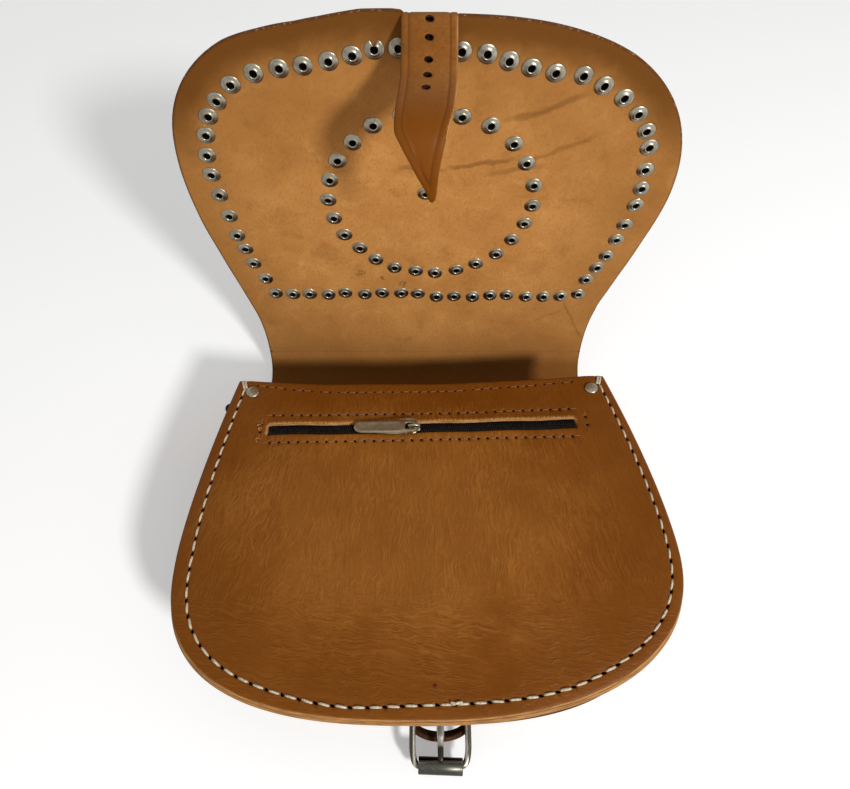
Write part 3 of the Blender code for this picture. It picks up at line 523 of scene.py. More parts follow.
def pointsAt(places, length, line):
    return np.stack([np.interp(places, length, line[:, k]) for k in range(line.shape[1])], 1)


def spaced(points, step):
    points = np.asarray(points, float)
    length = lengthAlong(points)
    count = max(1, round(length[-1] / step))
    return pointsAt(np.linspace(0, length[-1], count + 1), length, points)


def chain(curves, step):
    return np.vstack([spaced(curve, step)[:-1] for curve in curves])


def soften(values, rounds):
    # each value drawn towards its neighbours, the ends kept
    for _ in range(rounds):
        values[1:-1] = (values[:-2] + 2 * values[1:-1] + values[2:]) / 4
    return values


def softenLoop(loop, rounds):
    for _ in range(rounds):
        loop = (np.roll(loop, 1, 0) + 2 * loop + np.roll(loop, -1, 0)) / 4
    return loop


def smoothCurve(points, step, rounds=3):
    return soften(spaced(points, step), rounds)


def hump(away, wide):
    # 1 in the middle, falling off smoothly on both sides
    return np.exp(-((away / wide) ** 2))


def sideways(line):
    along = unit(np.gradient(line, axis=0))
    return np.stack([-along[:, 1], along[:, 0]], 1)


pointsAtOnce = 1500  # how many places are measured together, to spare memory


def awayFrom(points, line):
    # how far each point is from the nearest place on the line
    starts, runs = line[:-1], np.diff(line, axis=0)
    size = np.maximum((runs**2).sum(1), 1e-12)
    nearest = np.empty(len(points))
    for k in range(0, len(points), pointsAtOnce):
        gap = points[k : k + pointsAtOnce, None] - starts
        share = np.clip((gap * runs).sum(2) / size, 0, 1)
        nearest[k : k + pointsAtOnce] = np.sqrt(((gap - share[..., None] * runs) ** 2).sum(2)).min(1)
    return nearest


def within(points, loop):
    a, b = loop, np.roll(loop, -1, 0)
    found = np.zeros(len(points), bool)
    for k in range(0, len(points), pointsAtOnce):
        p = points[k : k + pointsAtOnce, None]
        spans = (a[:, 1] > p[..., 1]) != (b[:, 1] > p[..., 1])
        rise = np.where(b[:, 1] == a[:, 1], 1e-9, b[:, 1] - a[:, 1])
        cross = a[:, 0] + (p[..., 1] - a[:, 1]) * (b[:, 0] - a[:, 0]) / rise
        found[k : k + pointsAtOnce] = (spans & (p[..., 0] < cross)).sum(1) % 2 == 1
    return found


def closedLoop(loop):
    return np.vstack([loop, loop[:1]])


def ripple(x, y, seed, length):
    # an uneven wave of about this length, the same for each seed
    draw = np.random.default_rng(seed)
    total = 0
    for _ in range(6):
        angle, phase, scale = draw.uniform(0, tau), draw.uniform(0, tau), draw.uniform(0.6, 1.7)
        total = total + np.sin((x * math.cos(angle) + y * math.sin(angle)) * tau * scale / length + phase)
    return total / 3.5


def ripples(x, y, waves):
    # waves added up, each with its size, seed and length
    return sum(size * ripple(x, y, seed, length) for size, seed, length in waves)


def rising(value, start, run):
    # 0 up to the start, then rising to 1 over this run
    return np.clip((value - start) / run, 0, 1)


def roundHole(centre, radius, sides=10, turn=0, wide=1):
    angle = np.arange(sides) * tau / sides
    x, y = radius * wide * np.cos(angle), radius * np.sin(angle)
    c, s = math.cos(turn), math.sin(turn)
    return np.stack([centre[0] + x * c - y * s, centre[1] + x * s + y * c], 1)


def squareTo(loop):
    # unit vectors square to a closed loop, all on one side of it
    return unit(np.roll(loop, -1, 0) - np.roll(loop, 1, 0)) @ np.array([[0, 1], [-1, 0]])


def cutBlank(loop, holes=(), grain=2.3, rings=(0.35, 0.9, 1.8, 3.2), ringHoles=()):
    # a flat piece of hide as triangles, with rings of points along its edges and its ring holes
    edge = closedLoop(loop)
    area = (edge[:-1, 0] * edge[1:, 1] - edge[1:, 0] * edge[:-1, 1]).sum()
    inward = squareTo(loop) * (1 if area > 0 else -1)
    extra = []
    for ring in rings:
        moved = loop + inward * ring
        moved = moved[within(moved, loop)]
        extra.append(moved[awayFrom(moved, edge) > ring * 0.94])
    low, high = loop.min(0), loop.max(0)
    xs = np.arange(low[0], high[0], grain)
    ys = np.arange(low[1], high[1], grain * 0.866)
    gridX, gridY = np.meshgrid(xs, ys)
    gridX = gridX + (np.arange(len(ys)) % 2 * grain / 2)[:, None]
    inner = np.stack([gridX.ravel(), gridY.ravel()], 1)
    inner = inner[within(inner, loop)]
    extra.append(inner[awayFrom(inner, edge) > rings[-1] + grain * 0.45])
    for hole in ringHoles:
        out = unit(hole - hole.mean(0))
        around = squareTo(hole)
        around = around * np.sign((around * out).sum(1))[:, None]
        near = np.vstack(extra)
        extra = [near[awayFrom(near, closedLoop(hole)) > 3.4]]
        for ring in (0.35, 0.9, 1.8, 3.0):
            extra.append(hole + around * ring)
    inner = np.vstack(extra)
    for hole in [*holes, *ringHoles]:
        centre = hole.mean(0)
        reach = np.linalg.norm(hole - centre, axis=1).max() + 0.35
        close = np.linalg.norm(inner - centre, axis=1) < reach
        drop = np.zeros(len(inner), bool)
        index = np.nonzero(close)[0]
        if len(index):
            drop[index] = within(inner[index], hole) | (awayFrom(inner[index], closedLoop(hole)) < 0.25)
        inner = inner[~drop]
    loops = [loop, *holes, *ringHoles]
    corners, edges, owner = [], [], []  # owner is the number of the loop that a corner lies on, or -1
    for number, one in enumerate(loops):
        start = len(corners)
        corners += [Vector(p) for p in one]
        edges += [(start + i, start + (i + 1) % len(one)) for i in range(len(one))]
        owner += [number] * len(one)
    corners += [Vector(p) for p in inner]
    owner += [-1] * len(inner)
    verts, _, faces, origin, _, _ = delaunay_2d_cdt(corners, edges, [], 0, 1e-5)
    flat = np.array([tuple(v) for v in verts])
    newIndex = {}
    belongs = np.full(len(flat), -1)
    for i, sources in enumerate(origin):
        for source in sources:
            newIndex[source] = i
            if owner[source] >= 0:
                belongs[i] = owner[source]
    triangles = np.array([f for f in faces if len(f) == 3])
    same = belongs[triangles]
    inHole = (same[:, 0] > 0) & (same[:, 0] == same[:, 1]) & (same[:, 1] == same[:, 2])
    triangles = triangles[~inHole]
    border = (belongs[triangles] == 0).all(1)
    outside = np.zeros(len(triangles), bool)
    outside[border] = ~within(flat[triangles[border]].mean(1), loop)
    triangles = triangles[~outside]
    rims, count = [], 0
    for one in loops:
        rims.append([newIndex[count + i] for i in range(len(one))])
        count += len(one)
    return flat, triangles, rims


def buildMesh(name, points, faces, finishes, indices, marks):
    mesh = bpy.data.meshes.new(name)
    mesh.from_pydata((np.asarray(points) * mm).tolist(), [], [tuple(int(i) for i in f) for f in faces])
    for finish in finishes:
        mesh.materials.append(finish.material)
    mesh.polygons.foreach_set("material_index", np.asarray(indices, np.int32))
    bm = bmesh.new()
    bm.from_mesh(mesh)
    bmesh.ops.recalc_face_normals(bm, faces=bm.faces[:])
    bm.to_mesh(mesh)
    bm.free()
    mesh.polygons.foreach_set("use_smooth", np.full(len(mesh.polygons), True))
    for key, values in marks.items():
        values = np.asarray(values, np.float32)
        if values.ndim == 2:
            mesh.attributes.new(key, "FLOAT_VECTOR", "POINT").data.foreach_set("vector", values.ravel())
        else:
            mesh.attributes.new(key, "FLOAT", "POINT").data.foreach_set("value", values)
    piece = bpy.data.objects.new(name, mesh)
    scene.collection.objects.link(piece)
    return piece


def settle(piece, slot, body, *nodes):
    # its slot, which is not used, the body that it moves with, and the frame's nodes that it stands in for
    if nodes:
        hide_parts(*nodes)
    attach(piece, body)


smallHole = 20  # a hole with fewer corners is an eyelet's, an awl's or a needle's


def leather(name, blank, place, thickness, finishes, square=None, roundness=0.5, bevel=None, blind=False):
    # a blank given its thickness, with its edges rounded over or cut back as a raw bevel, and laid
    # where place(u, t, height) says; square(flat) marks sharp edges, and blind closes the small holes'
    # floors, giving their walls and floors the fourth finish, which paints the shade inside them
    flat, triangles, rims = blank
    outline = closedLoop(flat[rims[0]])
    rim = awayFrom(flat, outline)
    for one in rims[1:]:
        if len(one) > 2 * smallHole:
            rim = np.minimum(rim, awayFrom(flat, closedLoop(flat[one])))
    finished = rim if square is None else np.where(square(flat), 9, rim)
    drop = roundness * np.clip(1 - finished / 1.1, 0, 1) ** 2
    count = len(flat)
    wide = bevel(flat) if bevel else np.zeros(count)
    slope = np.clip(1 - finished / np.maximum(wide, 1e-6), 0, 1) * (thickness * 0.72) * np.clip(wide, 0, 1)
    high = place(flat[:, 0], flat[:, 1], thickness - np.maximum(drop, slope))
    low = place(flat[:, 0], flat[:, 1], drop)
    points = np.vstack([high, low])
    faces = [*triangles.tolist(), *(triangles[:, ::-1] + count).tolist()]
    raw = finished[triangles].mean(1) < wide[triangles].mean(1) - 0.05
    indices = np.where(raw, 2, 0).tolist() + [1] * len(triangles)
    for one in rims:
        for i, a in enumerate(one):
            b = one[(i + 1) % len(one)]
            faces.append((a, b, b + count, a + count))
            indices.append(3 if blind and len(one) < smallHole else 2)
    for one in rims[1:]:
        if blind and len(one) < smallHole:
            faces.append(tuple(i + count for i in one))
            indices.append(3)
    hide = np.column_stack([np.tile(flat, (2, 1)), np.repeat([thickness, 0], count)])
    return buildMesh(name, points, faces, finishes, indices, {"hide": hide, "rim": np.tile(finished, 2)})


def sheetPiece(name, grid, thickness, finishes):
    # a grid of middle points (rows x columns x 3) given its thickness, with its borders thinned
    across, along = np.gradient(grid, axis=1), np.gradient(grid, axis=0)
    normal = unit(np.cross(along, across))
    rows, columns = grid.shape[:2]
    half = np.full((rows, columns), thickness / 2)
    half[[0, -1]] *= 0.55
    half[:, [0, -1]] *= 0.55
    high = grid + normal * half[..., None]
    low = grid - normal * half[..., None]
    points = np.vstack([high.reshape(-1, 3), low.reshape(-1, 3)])
    count = rows * columns
    number = np.arange(count).reshape(rows, columns)
    quads = np.stack([number[:-1, :-1], number[1:, :-1], number[1:, 1:], number[:-1, 1:]], -1).reshape(-1, 4)
    border = [*number[0, :-1], *number[:-1, -1], *number[-1, :0:-1], *number[:0:-1, 0]]
    faces = quads.tolist() + (quads[:, ::-1] + count).tolist()
    indices = [0] * len(quads) + [1] * len(quads)
    for i, a in enumerate(border):
        b = border[(i + 1) % len(border)]
        faces.append((a, a + count, b + count, b))
        indices.append(2)
    length = lengthAlong(grid[:, columns // 2])
    width = lengthAlong(grid[rows // 2])
    a, b = np.meshgrid(width - width[-1] / 2, length)
    hide = np.column_stack([np.tile(a.ravel(), 2), np.tile(b.ravel(), 2), np.repeat([thickness, 0], count)])
    rim = np.minimum(np.minimum(a - a.min(), a.max() - a), 9)
    rim = np.minimum(rim, np.minimum(b, b.max() - b))
    return buildMesh(name, points, faces, finishes, indices, {"hide": hide, "rim": np.tile(rim.ravel(), 2)})


class Batch:
    # many small bodies in one mesh
    def __init__(self):
        self.points, self.faces, self.indices, self.count = [], [], [], 0

    def add(self, points, faces, index=0):
        points = np.asarray(points, float)
        self.points.append(points)
        self.faces += [tuple(int(i) + self.count for i in f) for f in faces]
        self.indices += [index] * len(faces) if isinstance(index, int) else list(index)
        self.count += len(points)

    def build(self, name, finishes):
        points = np.vstack(self.points)
        marks = {"hide": points, "rim": np.full(len(points), 5.0)}
        return buildMesh(name, points, self.faces, finishes, self.indices, marks)


def ringFaces(rings, sides, closed=False):
    # faces between rings of points, with a cap at both ends unless the last ring joins the first
    faces = []
    for i in range(rings if closed else rings - 1):
        j = (i + 1) % rings
        for k in range(sides):
            m = (k + 1) % sides
            faces.append((i * sides + k, i * sides + m, j * sides + m, j * sides + k))
    if not closed:
        faces.append(tuple(range(sides)))
        faces.append(tuple((rings - 1) * sides + k for k in range(sides)))
    return faces


def tubeOf(path, radius, sides=8, closed=False, flat=1.0, up=None):
    # a round or flattened wire along a path
    path = np.asarray(path, float)
    count = len(path)
    radius = np.broadcast_to(radius, (count,))
    if closed:
        along = unit(np.roll(path, -1, 0) - np.roll(path, 1, 0))
    else:
        along = unit(np.gradient(path, axis=0))
    side = np.array(up if up is not None else (0.0, 0.0, 1.0), float)
    if abs(along[0] @ side) > 0.95:
        side = np.array([1.0, 0, 0])
    angle = np.arange(sides) * tau / sides
    points = []
    for i in range(count):
        side = unit(side - along[i] * (side @ along[i]))
        other = np.cross(along[i], side)
        ring = np.outer(np.cos(angle), other) + np.outer(np.sin(angle), side) * flat
        points.append(path[i] + ring * radius[i])
    return np.vstack(points), ringFaces(count, sides, closed)


def turnedOf(profile, base, axis, sides=24, loop=False, warp=None):
    # a profile of (radius, height) turned round an axis
    base, axis = np.asarray(base, float), unit(np.asarray(axis, float))
    first = unit(np.cross(axis, (0.0, 0.0, 1.0) if abs(axis[2]) < 0.9 else (1.0, 0.0, 0.0)))
    second = np.cross(axis, first)
    points = []
    for radius, height in profile:
        for k in range(sides):
            angle = tau * k / sides
            r, h = warp(radius, height, angle) if warp else (radius, height)
            points.append(base + axis * h + (first * math.cos(angle) + second * math.sin(angle)) * r)
    return points, ringFaces(len(profile), sides, loop)


def plateOf(outline, low, high, chamfer=0.25):
    # a flat plate (x, y outline) with both its edges eased
    outline = np.asarray(outline, float)
    inner = outline + unit(outline.mean(0) - outline) * chamfer
    count = len(outline)
    layers = ((inner, low), (outline, low + chamfer), (outline, high - chamfer), (inner, high))
    points = np.vstack([np.column_stack([line, np.full(count, z)]) for line, z in layers])
    return points, ringFaces(4, count)


# the front panel: u runs across the bag and t down from the mouth
frontForm = {
    "mouthY": 93.0,
    "height": 187.0,
    "widestBelow": 108.0,
    "left": (130.7, 114.6, 2.78),
    "right": (134.4, 112.0, 2.28),
    "cornerTop": (-2.2, -6.0),
    "under": 59.8,
    "thickness": 2.2,
    "mouthSag": 5.2,
    "sagAt": -14,
    "sagReach": (98, 112),
    "belly": 2.6,
    "bellyBelow": 104,
    "bellyReach": (88, 52),
    "leftInsets": ((0, 60, 108, 150, 180), (5.6, 7.2, 8.6, 7.8, 7)),
    "rightInsets": ((0, 60, 108, 150, 180), (5.4, 5.6, 5.9, 6.6, 7)),
    "backInset": 7.0,
    "stitchPitch": 8.16,
    "seamDips": ((-38, 27, 1.9), (66, 24, 1.2)),
    "waves": ((0.45, 4, 95), (0.22, 9, 34)),
    "groove": (0.35, 0.8),
    "mouthRow": (
        (-103, 1.0), (-97, 1.5), (-72, 3.6), (-40, 4.2), (0, 3.4), (30, 2.0), (57, 0.6), (86, -1.4),
        (93, -1.6),
    ),
}


def sideCurve(form, side, top, count=40):
    # one side's outline: a power curve down to the widest place and a rounded corner below it
    widest, topHalf, power = form["left"] if side < 0 else form["right"]
    below = np.linspace(top, form["widestBelow"], count)
    share = np.clip(1 - below / form["widestBelow"], 0, None)
    upper = np.column_stack([widest - (widest - topHalf) * share**1.5, below])
    angle = np.linspace(0, math.pi / 2, 70)[1:]
    drop = form["height"] - form["widestBelow"]
    across, down = (f(angle) ** (2 / power) for f in (np.cos, np.sin))
    lower = np.column_stack([widest * across, form["widestBelow"] + drop * down])
    return np.vstack([upper, lower]) * np.array([side, 1])


def sewnLine(form, tops):
    left = sideCurve(form, -1, tops[0])
    right = sideCurve(form, 1, tops[1])
    return smoothCurve(np.vstack([left, right[::-1][1:]]), 1.3, 8)


frontSewn = sewnLine(frontForm, frontForm["cornerTop"])


def mouthSagAt(u, t):
    off = u - frontForm["sagAt"]
    spread = np.clip(1 - np.abs(off / np.where(off < 0, *frontForm["sagReach"])) ** 2.4, 0, 1)
    return frontForm["mouthSag"] * spread * hump(np.clip(t + 4, 0, None), 24)


def frontLift(u, t):
    # how much higher than flat the front lies: its belly, its soft waves and the sag of the mouth
    wide, deep = frontForm["bellyReach"]
    crown = hump(u, wide) * hump(t - frontForm["bellyBelow"], deep)
    waves = ripples(u, t, frontForm["waves"])
    calm = np.clip(awayFrom(np.column_stack([u, t]), frontSewn) / 22, 0, 1)
    calm = calm * (1 - hump(t - 31.6, 15))
    return frontForm["belly"] * crown + waves * calm - mouthSagAt(u, t)


def rimDrop(distance, deep=1.1, reach=9):
    return deep * np.clip(1 - distance / reach, 0, 1) ** 2


zipForm = {
    "left": -92.0,
    "right": 88.6,
    "halfHeight": 3.3,
    "lip": 1.5,
    "stitchPitch": 5.5,
    "rowAbove": 10.3,
    "rowBelow": 8.6,
    # the hide swells beside the lips, more above than below, and is pulled out of line there
    "pucker": (0.7, 4.5, 2.4),
    "puckerShares": (1.35, 0.5),
    "pull": (0.35, 21, 60),
}


def slotLine(u):
    # how far below the mouth the zip's middle runs
    return 31.1 - 0.0255 * u - 0.00006 * u**2


def seamInsetAt(u, t):
    # nearer the edge at the corners and down the right side, farther in where the left side is widest
    left = np.interp(t, *frontForm["leftInsets"])
    right = np.interp(t, *frontForm["rightInsets"])
    toRight = rising(u, -40, 80)
    return left * (1 - toRight) + right * toRight


def frontPlace(u, t, height):
    flat = np.column_stack([u, t])
    distance = awayFrom(flat, frontSewn)
    deep, wide = frontForm["groove"]
    groove = deep * hump(distance - seamInsetAt(u, t), wide)
    zipAway = np.abs(t - slotLine(u))
    inZip = np.clip(1 - np.maximum(np.abs(u + 1) - 88, 0) / 5, 0, 1)
    swell, away, reach = zipForm["pucker"]
    pucker = swell * inZip * hump(zipAway - away, reach) * np.where(t < slotLine(u), *zipForm["puckerShares"])
    z = frontForm["under"] + height + frontLift(u, t) - rimDrop(distance) - groove + pucker
    pull = ripples(u, t, [zipForm["pull"]]) * inZip * hump(zipAway, 6.5)
    return np.column_stack([u, frontForm["mouthY"] - t + pull, z])


def alongLine(line, pitch, start):
    # places at this pitch along the line, and its direction at each
    length = lengthAlong(line)
    places = np.arange(start, length[-1], pitch)
    points = pointsAt(places, length, line)
    return points, unit(pointsAt(places + 0.5, length, line) - points)


def inwardOf(line):
    # the sewn lines run from the left end of the mouth round the bottom, so the bag is on their right
    return -sideways(line)


frontSeam = frontSewn + inwardOf(frontSewn) * seamInsetAt(*frontSewn.T)[:, None]
for centre, reach, dip in frontForm["seamDips"]:
    frontSeam[:, 1] += dip * hump(frontSeam[:, 0] - centre, reach) * (frontSeam[:, 1] > 120)
mouthRow = smoothCurve(frontForm["mouthRow"], 2, 6)


def rawBevel(flat):
    # how wide the cut edge shows from above: round the bottom, and along the slot's upper lip and left end
    low = rising(flat[:, 1], 112, 40)
    slot = (flat[:, 1] < slotLine(flat[:, 0]) + 0.5) | (flat[:, 0] < zipForm["left"] + 0.4)
    inZip = slot & (np.abs(flat[:, 0] + 1) < 95) & (np.abs(flat[:, 1] - 32) < 14)
    return np.where(inZip, zipForm["lip"], 0.7 * low)


def makeFront():
    left, right = frontSewn[0], frontSewn[-1]
    run = np.linspace(0, 1, 40)[:, None]
    mouth = right + (left - right) * run + np.sin(math.pi * run) * np.array([0, 1.3])
    loop = chain([frontSewn, mouth], 1.3)
    holes = []
    for point, way in zip(*alongLine(frontSeam, frontForm["stitchPitch"], 3.2)):
        holes.append(roundHole(point, 0.7, 8, math.atan2(way[1], way[0]) + 0.3, 2.0))
    above, below = zipForm["rowAbove"], zipForm["rowBelow"]
    us = np.linspace(zipForm["left"] - 4.2, zipForm["right"] + 6, 80)
    rows = [mouthRow] + [np.column_stack([us, slotLine(us) + away]) for away in (-above, below)]
    for u, lean in ((us[0], -0.6), (us[-1], 1.4)):
        run = np.linspace(0, 1, 12)
        rows.append(np.column_stack([u + lean * run, slotLine(u) - above + run * (above + below)]))
    stitches = []
    for row in rows:
        places, _ = alongLine(row, zipForm["stitchPitch"], 0.6)
        stitches.append(places)
        for point in places[1:-1] if row is not mouthRow else places:
            holes.append(roundHole(point, 0.58 if row is mouthRow else 0.78, 8, 0.4, 1.2))
    us = np.linspace(zipForm["left"], zipForm["right"], 60)
    lip = zipForm["halfHeight"]
    top = np.column_stack([us, slotLine(us) - lip])
    bottom = np.column_stack([us[::-1], slotLine(us[::-1]) + lip])
    bottom[0, 0] += 0.7  # the slot's right end leans
    slot = chain([top, np.vstack([top[-1], bottom[0]]), bottom, np.vstack([bottom[-1], top[0]])], 1.2)
    kept = []  # holes that would run into another or into the slot are left out
    for hole in holes:
        centre = hole.mean(0)
        clear = all(np.linalg.norm(centre - other.mean(0)) > 2.2 for other in kept)
        if clear and awayFrom(centre[None], closedLoop(slot))[0] > 1.5:
            kept.append(hole)
    rings = (0.35, 0.9, 1.8, 3.2, 5.0, 6.4, 7.3, 8.2, 9.8)
    blank = cutBlank(loop, kept, 2.4, rings, [slot])
    thickness, finishes = frontForm["thickness"], (grainHide, liningHide, rawEdge, holeShade)
    piece = leather("front_hide", blank, frontPlace, thickness, finishes, bevel=rawBevel, blind=True)
    settle(piece, "grain_leather", "bag", "front_panel")
    return stitches


machineRows = makeFront()
print("front panel made")

# the back panel and the gusset between the panels
backForm = {
    **frontForm,
    "height": 182.0,
    "left": (131.0, 113.5, 2.8),
    "right": (133.0, 113.5, 2.6),
}
backSewn = sewnLine(backForm, (0.4, 0.4))


def backPlace(u, t, height):
    distance = awayFrom(np.column_stack([u, t]), backSewn)
    lift = 0.35 * hump(distance, 5)
    return np.column_stack([u, frontForm["mouthY"] - t, height + lift * 0.6])


def makeBack():
    ends = np.vstack([backSewn[-1], backSewn[0]])
    loop = chain([backSewn, ends], 1.6)
    blank = cutBlank(loop, (), 3.4)

    def uncut(flat):
        return flat[:, 1] < 0.5

    piece = leather("back_hide", blank, backPlace, 2.2, (fleshHide, outerHide, rawEdge), uncut)
    settle(piece, "grain_leather", "bag", "back_panel")


gussetForm = {
    "thickness": 2.0,
    "stations": 300,
    "ends": (3.5, 58.5),
    # inset from the sewn line and height: under the front, down the wall (inset, bulge, drop), over the back
    "top": (
        (0, 58.45), (0.55, 58.45), (1.15, 58.45), (2.3, 58.45), (5.5, 58.5), (9, 58.5), (12, 58.4),
        (14.2, 57.9), (15.8, 56.5), (16.6, 54.2),
    ),
    "wall": (16.8, 1.6, 47.2),
    "foot": (
        (16.5, 7.0), (15.8, 5.1), (14.2, 4.0), (12, 3.6), (9, 3.5), (5.5, 3.5), (2.4, 3.5), (0.6, 3.5),
        (0, 3.5),
    ),
}


def makeGusset():
    stations = gussetForm["stations"]
    shares = np.linspace(0, 1, stations)
    lines = []
    for line in (spaced(frontSewn, 1), spaced(backSewn, 1)):
        at = pointsAt(shares * (len(line) - 1), np.arange(len(line)), line)
        inward = inwardOf(at)
        inward[0], inward[-1] = inward[1], inward[-2]
        lines.append((at, inward))
    (frontAt, frontIn), (backAt, backIn) = lines
    low = rising(frontAt[:, 1], 118, 45)
    proud = 0.2 + 0.95 * low**0.7  # how far its rim stands out past the front, low down
    inset, bulge, drop = gussetForm["wall"]
    bottom, top = gussetForm["ends"]
    wallTop = gussetForm["top"][-1][1]
    wall = [(inset + bulge * math.sin(math.pi * k / 11), wallTop - drop * k / 11) for k in range(1, 11)]
    section = [*gussetForm["top"], *wall, *gussetForm["foot"]]
    grid = np.empty((stations, len(section), 3))
    for j, (inset, z) in enumerate(section):
        share = rising(z, bottom, top - bottom)
        wave = 0.9 * ripple(shares * 560, np.full(stations, z * 2.0), 31, 150) * math.sin(math.pi * share)
        reach = inset + wave - proud * max(0, 1 - inset / 5) * (1 if z > 30 else 0.35)
        frontPoint = frontAt + frontIn * reach[:, None]
        backPoint = backAt + backIn * reach[:, None]
        point = backPoint + (frontPoint - backPoint) * share
        lift = frontLift(frontPoint[:, 0], frontPoint[:, 1]) * share**3
        distance = np.clip(inset - proud * max(0, 1 - inset / 5), 0, 20)
        drop = rimDrop(distance) * share**6 + 0.9 * low * max(0, 1 - inset / 1.2) * share
        grid[:, j] = np.column_stack([point[:, 0], frontForm["mouthY"] - point[:, 1], z + lift - drop])
    piece = sheetPiece("gusset_hide", grid, gussetForm["thickness"], (fleshHide, darkHide, rawEdge))
    width = len(section) - 1
    for face in list(piece.data.polygons)[: 2 * width * (stations - 1)]:
        if face.index % width in (0, 1):  # the rim shows as a cut edge
            face.material_index = 2
    settle(piece, "dark_leather", "bag", "gusset")


makeBack()
makeGusset()
print("back panel and gusset made")

# the neck and the flap, one hide; s runs from the mouth up to the flap's edge
flapForm = {
    "thickness": 2.2,
    "split": 66.0,
    "top": 107.5,
    "length": 189.5,
    "widestBelow": 92.0,
    "left": (128.8, 114.0, 2.9),
    "right": (133.8, 113.3, 2.45),
    "start": (93, 1.1),
    "waves": ((0.8, 14, 150), (0.25, 16, 48)),
    "rise": (  # length along the hide and its slope in degrees
        (0, 0), (35.5, 0), (59.8, 77), (74, 78.4), (94, 81.4), (114, 85.1), (134, 87.1), (156, 89.1),
        (181, 91.4), (206, 91.6), (231, 89.8), (256, 88.2), (281, 85.9), (300, 84),
    ),
    "neck": (  # length and half width
        (0, 113.5), (20, 111.6), (45, 110.2), (67.5, 109.5), (78.5, 109.7), (89.5, 110.5), (100.5, 112.2),
        (107.5, 114.0),
    ),
    "topDip": (  # how far the top edge dips at places across it, most under the strap
        (-90, 0), (-74, 1.6), (-57, 2.4), (-46, 1.9), (-38, 1.2), (-28, 0.3), (-14, 0.5), (-9.4, 1.1),
        (-7.4, 6), (11.6, 6), (13.6, 2.4), (24, 2.3), (45, 1.8), (70, 1.0), (95, 0),
    ),
}

riseLength = np.linspace(0, 300, 1201)
riseAngle = soften(np.radians(np.interp(riseLength, *zip(*flapForm["rise"]))), 60)
riseStep = riseLength[1]
riseY = flapForm["start"][0] + np.concatenate([[0], np.cumsum(np.cos(riseAngle[:-1]) * riseStep)])
riseZ = flapForm["start"][1] + np.concatenate([[0], np.cumsum(np.sin(riseAngle[:-1]) * riseStep)])


def hidePlace(u, s, height):
    # height is measured from the hide's middle, towards the flesh side
    y, z, angle = (np.interp(s, riseLength, values) for values in (riseY, riseZ, riseAngle))
    free = rising(s, 96, 60)
    side = rising(np.abs(u), 45, 80)
    wave = ripples(u, s, flapForm["waves"]) * free * (0.4 + side)
    height = height + wave
    return np.column_stack([u, y - np.sin(angle) * height, z + np.cos(angle) * height])


def hideNormal(u, s):
    a = hidePlace(np.array([u, u, u + 0.5]), np.array([s, s + 0.5, s]), np.zeros(3))
    return unit(np.cross(a[2] - a[0], a[1] - a[0]))


def flapSide(side):
    body = sideCurve({**flapForm, "height": flapForm["length"]}, side, 0)
    body = body + np.array([0, flapForm["top"]])
    s, half = zip(*flapForm["neck"])
    lengths = np.linspace(0, flapForm["top"], 60)
    neck = np.column_stack([side * soften(np.interp(lengths, s, half), 6), lengths])
    return smoothCurve(np.vstack([neck[:-1], body]), 1.4, 6)


flapLeft, flapRight = flapSide(-1), flapSide(1)

eyeletForm = {
    "foot": (-97, 99.7, 119.3),
    "footCount": 18,
    "lowered": (8, 17, 1.9),
    "inset": 16.6,
    "sides": {-1: (131.8, -11.6), 1: (130.8, 16.6)},
    "sideCount": 18,
    # the spacing at a few of each side's eyelets, from the foot up
    "spacings": {
        -1: ((0, 13), (2, 11.7), (3, 14.5), (4, 15.3), (5, 12.3), (7, 11.5), (8, 10.8), (10, 11), (11, 13.1),
             (12, 13), (13, 11.2), (17, 10.6)),
        1: ((0, 11.5), (3, 13), (4, 14.4), (5, 12.4), (7, 12.9), (8, 11.1), (10, 12.2), (14, 12), (17, 10.9)),
    },
    "ringAt": (3.2, 194.1),
    "ringRadius": 56.06,
    "ringCount": 25,
    "ringStart": 73.8,
    "ringUneven": (4.3, 15),
    "centreAt": (0.5, 200.1),
    "bulge": (5, 58, 24, 220),  # how far the border swings in near the top corners
    "shoulder": (2.0, 150, 25),
    "strayed": (0.9, 0.8),
    "split": (-22.1, 279.6),
    # the eyelet's section (radius, height): its bore, domed flange, underside and clenched back
    "section": (
        (1.6, -1.3), (1.6, 0.7), (1.72, 1.8), (1.92, 2.25), (2.2, 2.35), (2.5, 2.12), (2.75, 1.9),
        (3.6, 1.72), (4.35, 1.5), (4.7, 1.2), (4.66, 1.08), (2.4, 1.05), (2.4, -1.05), (4.1, -1.08),
        (4.2, -1.3), (3.7, -1.7), (2.8, -1.95), (2.1, -1.8),
    ),
    "turned": 22,
}


def alongSpaced(line, knots, count):
    # count + 1 places on a line, spaced by the few spacings named in knots
    steps = np.interp(np.arange(count), *zip(*knots))
    length = lengthAlong(line)
    places = np.concatenate([[0], np.cumsum(steps)]) * length[-1] / steps.sum()
    return pointsAt(places, length, line)


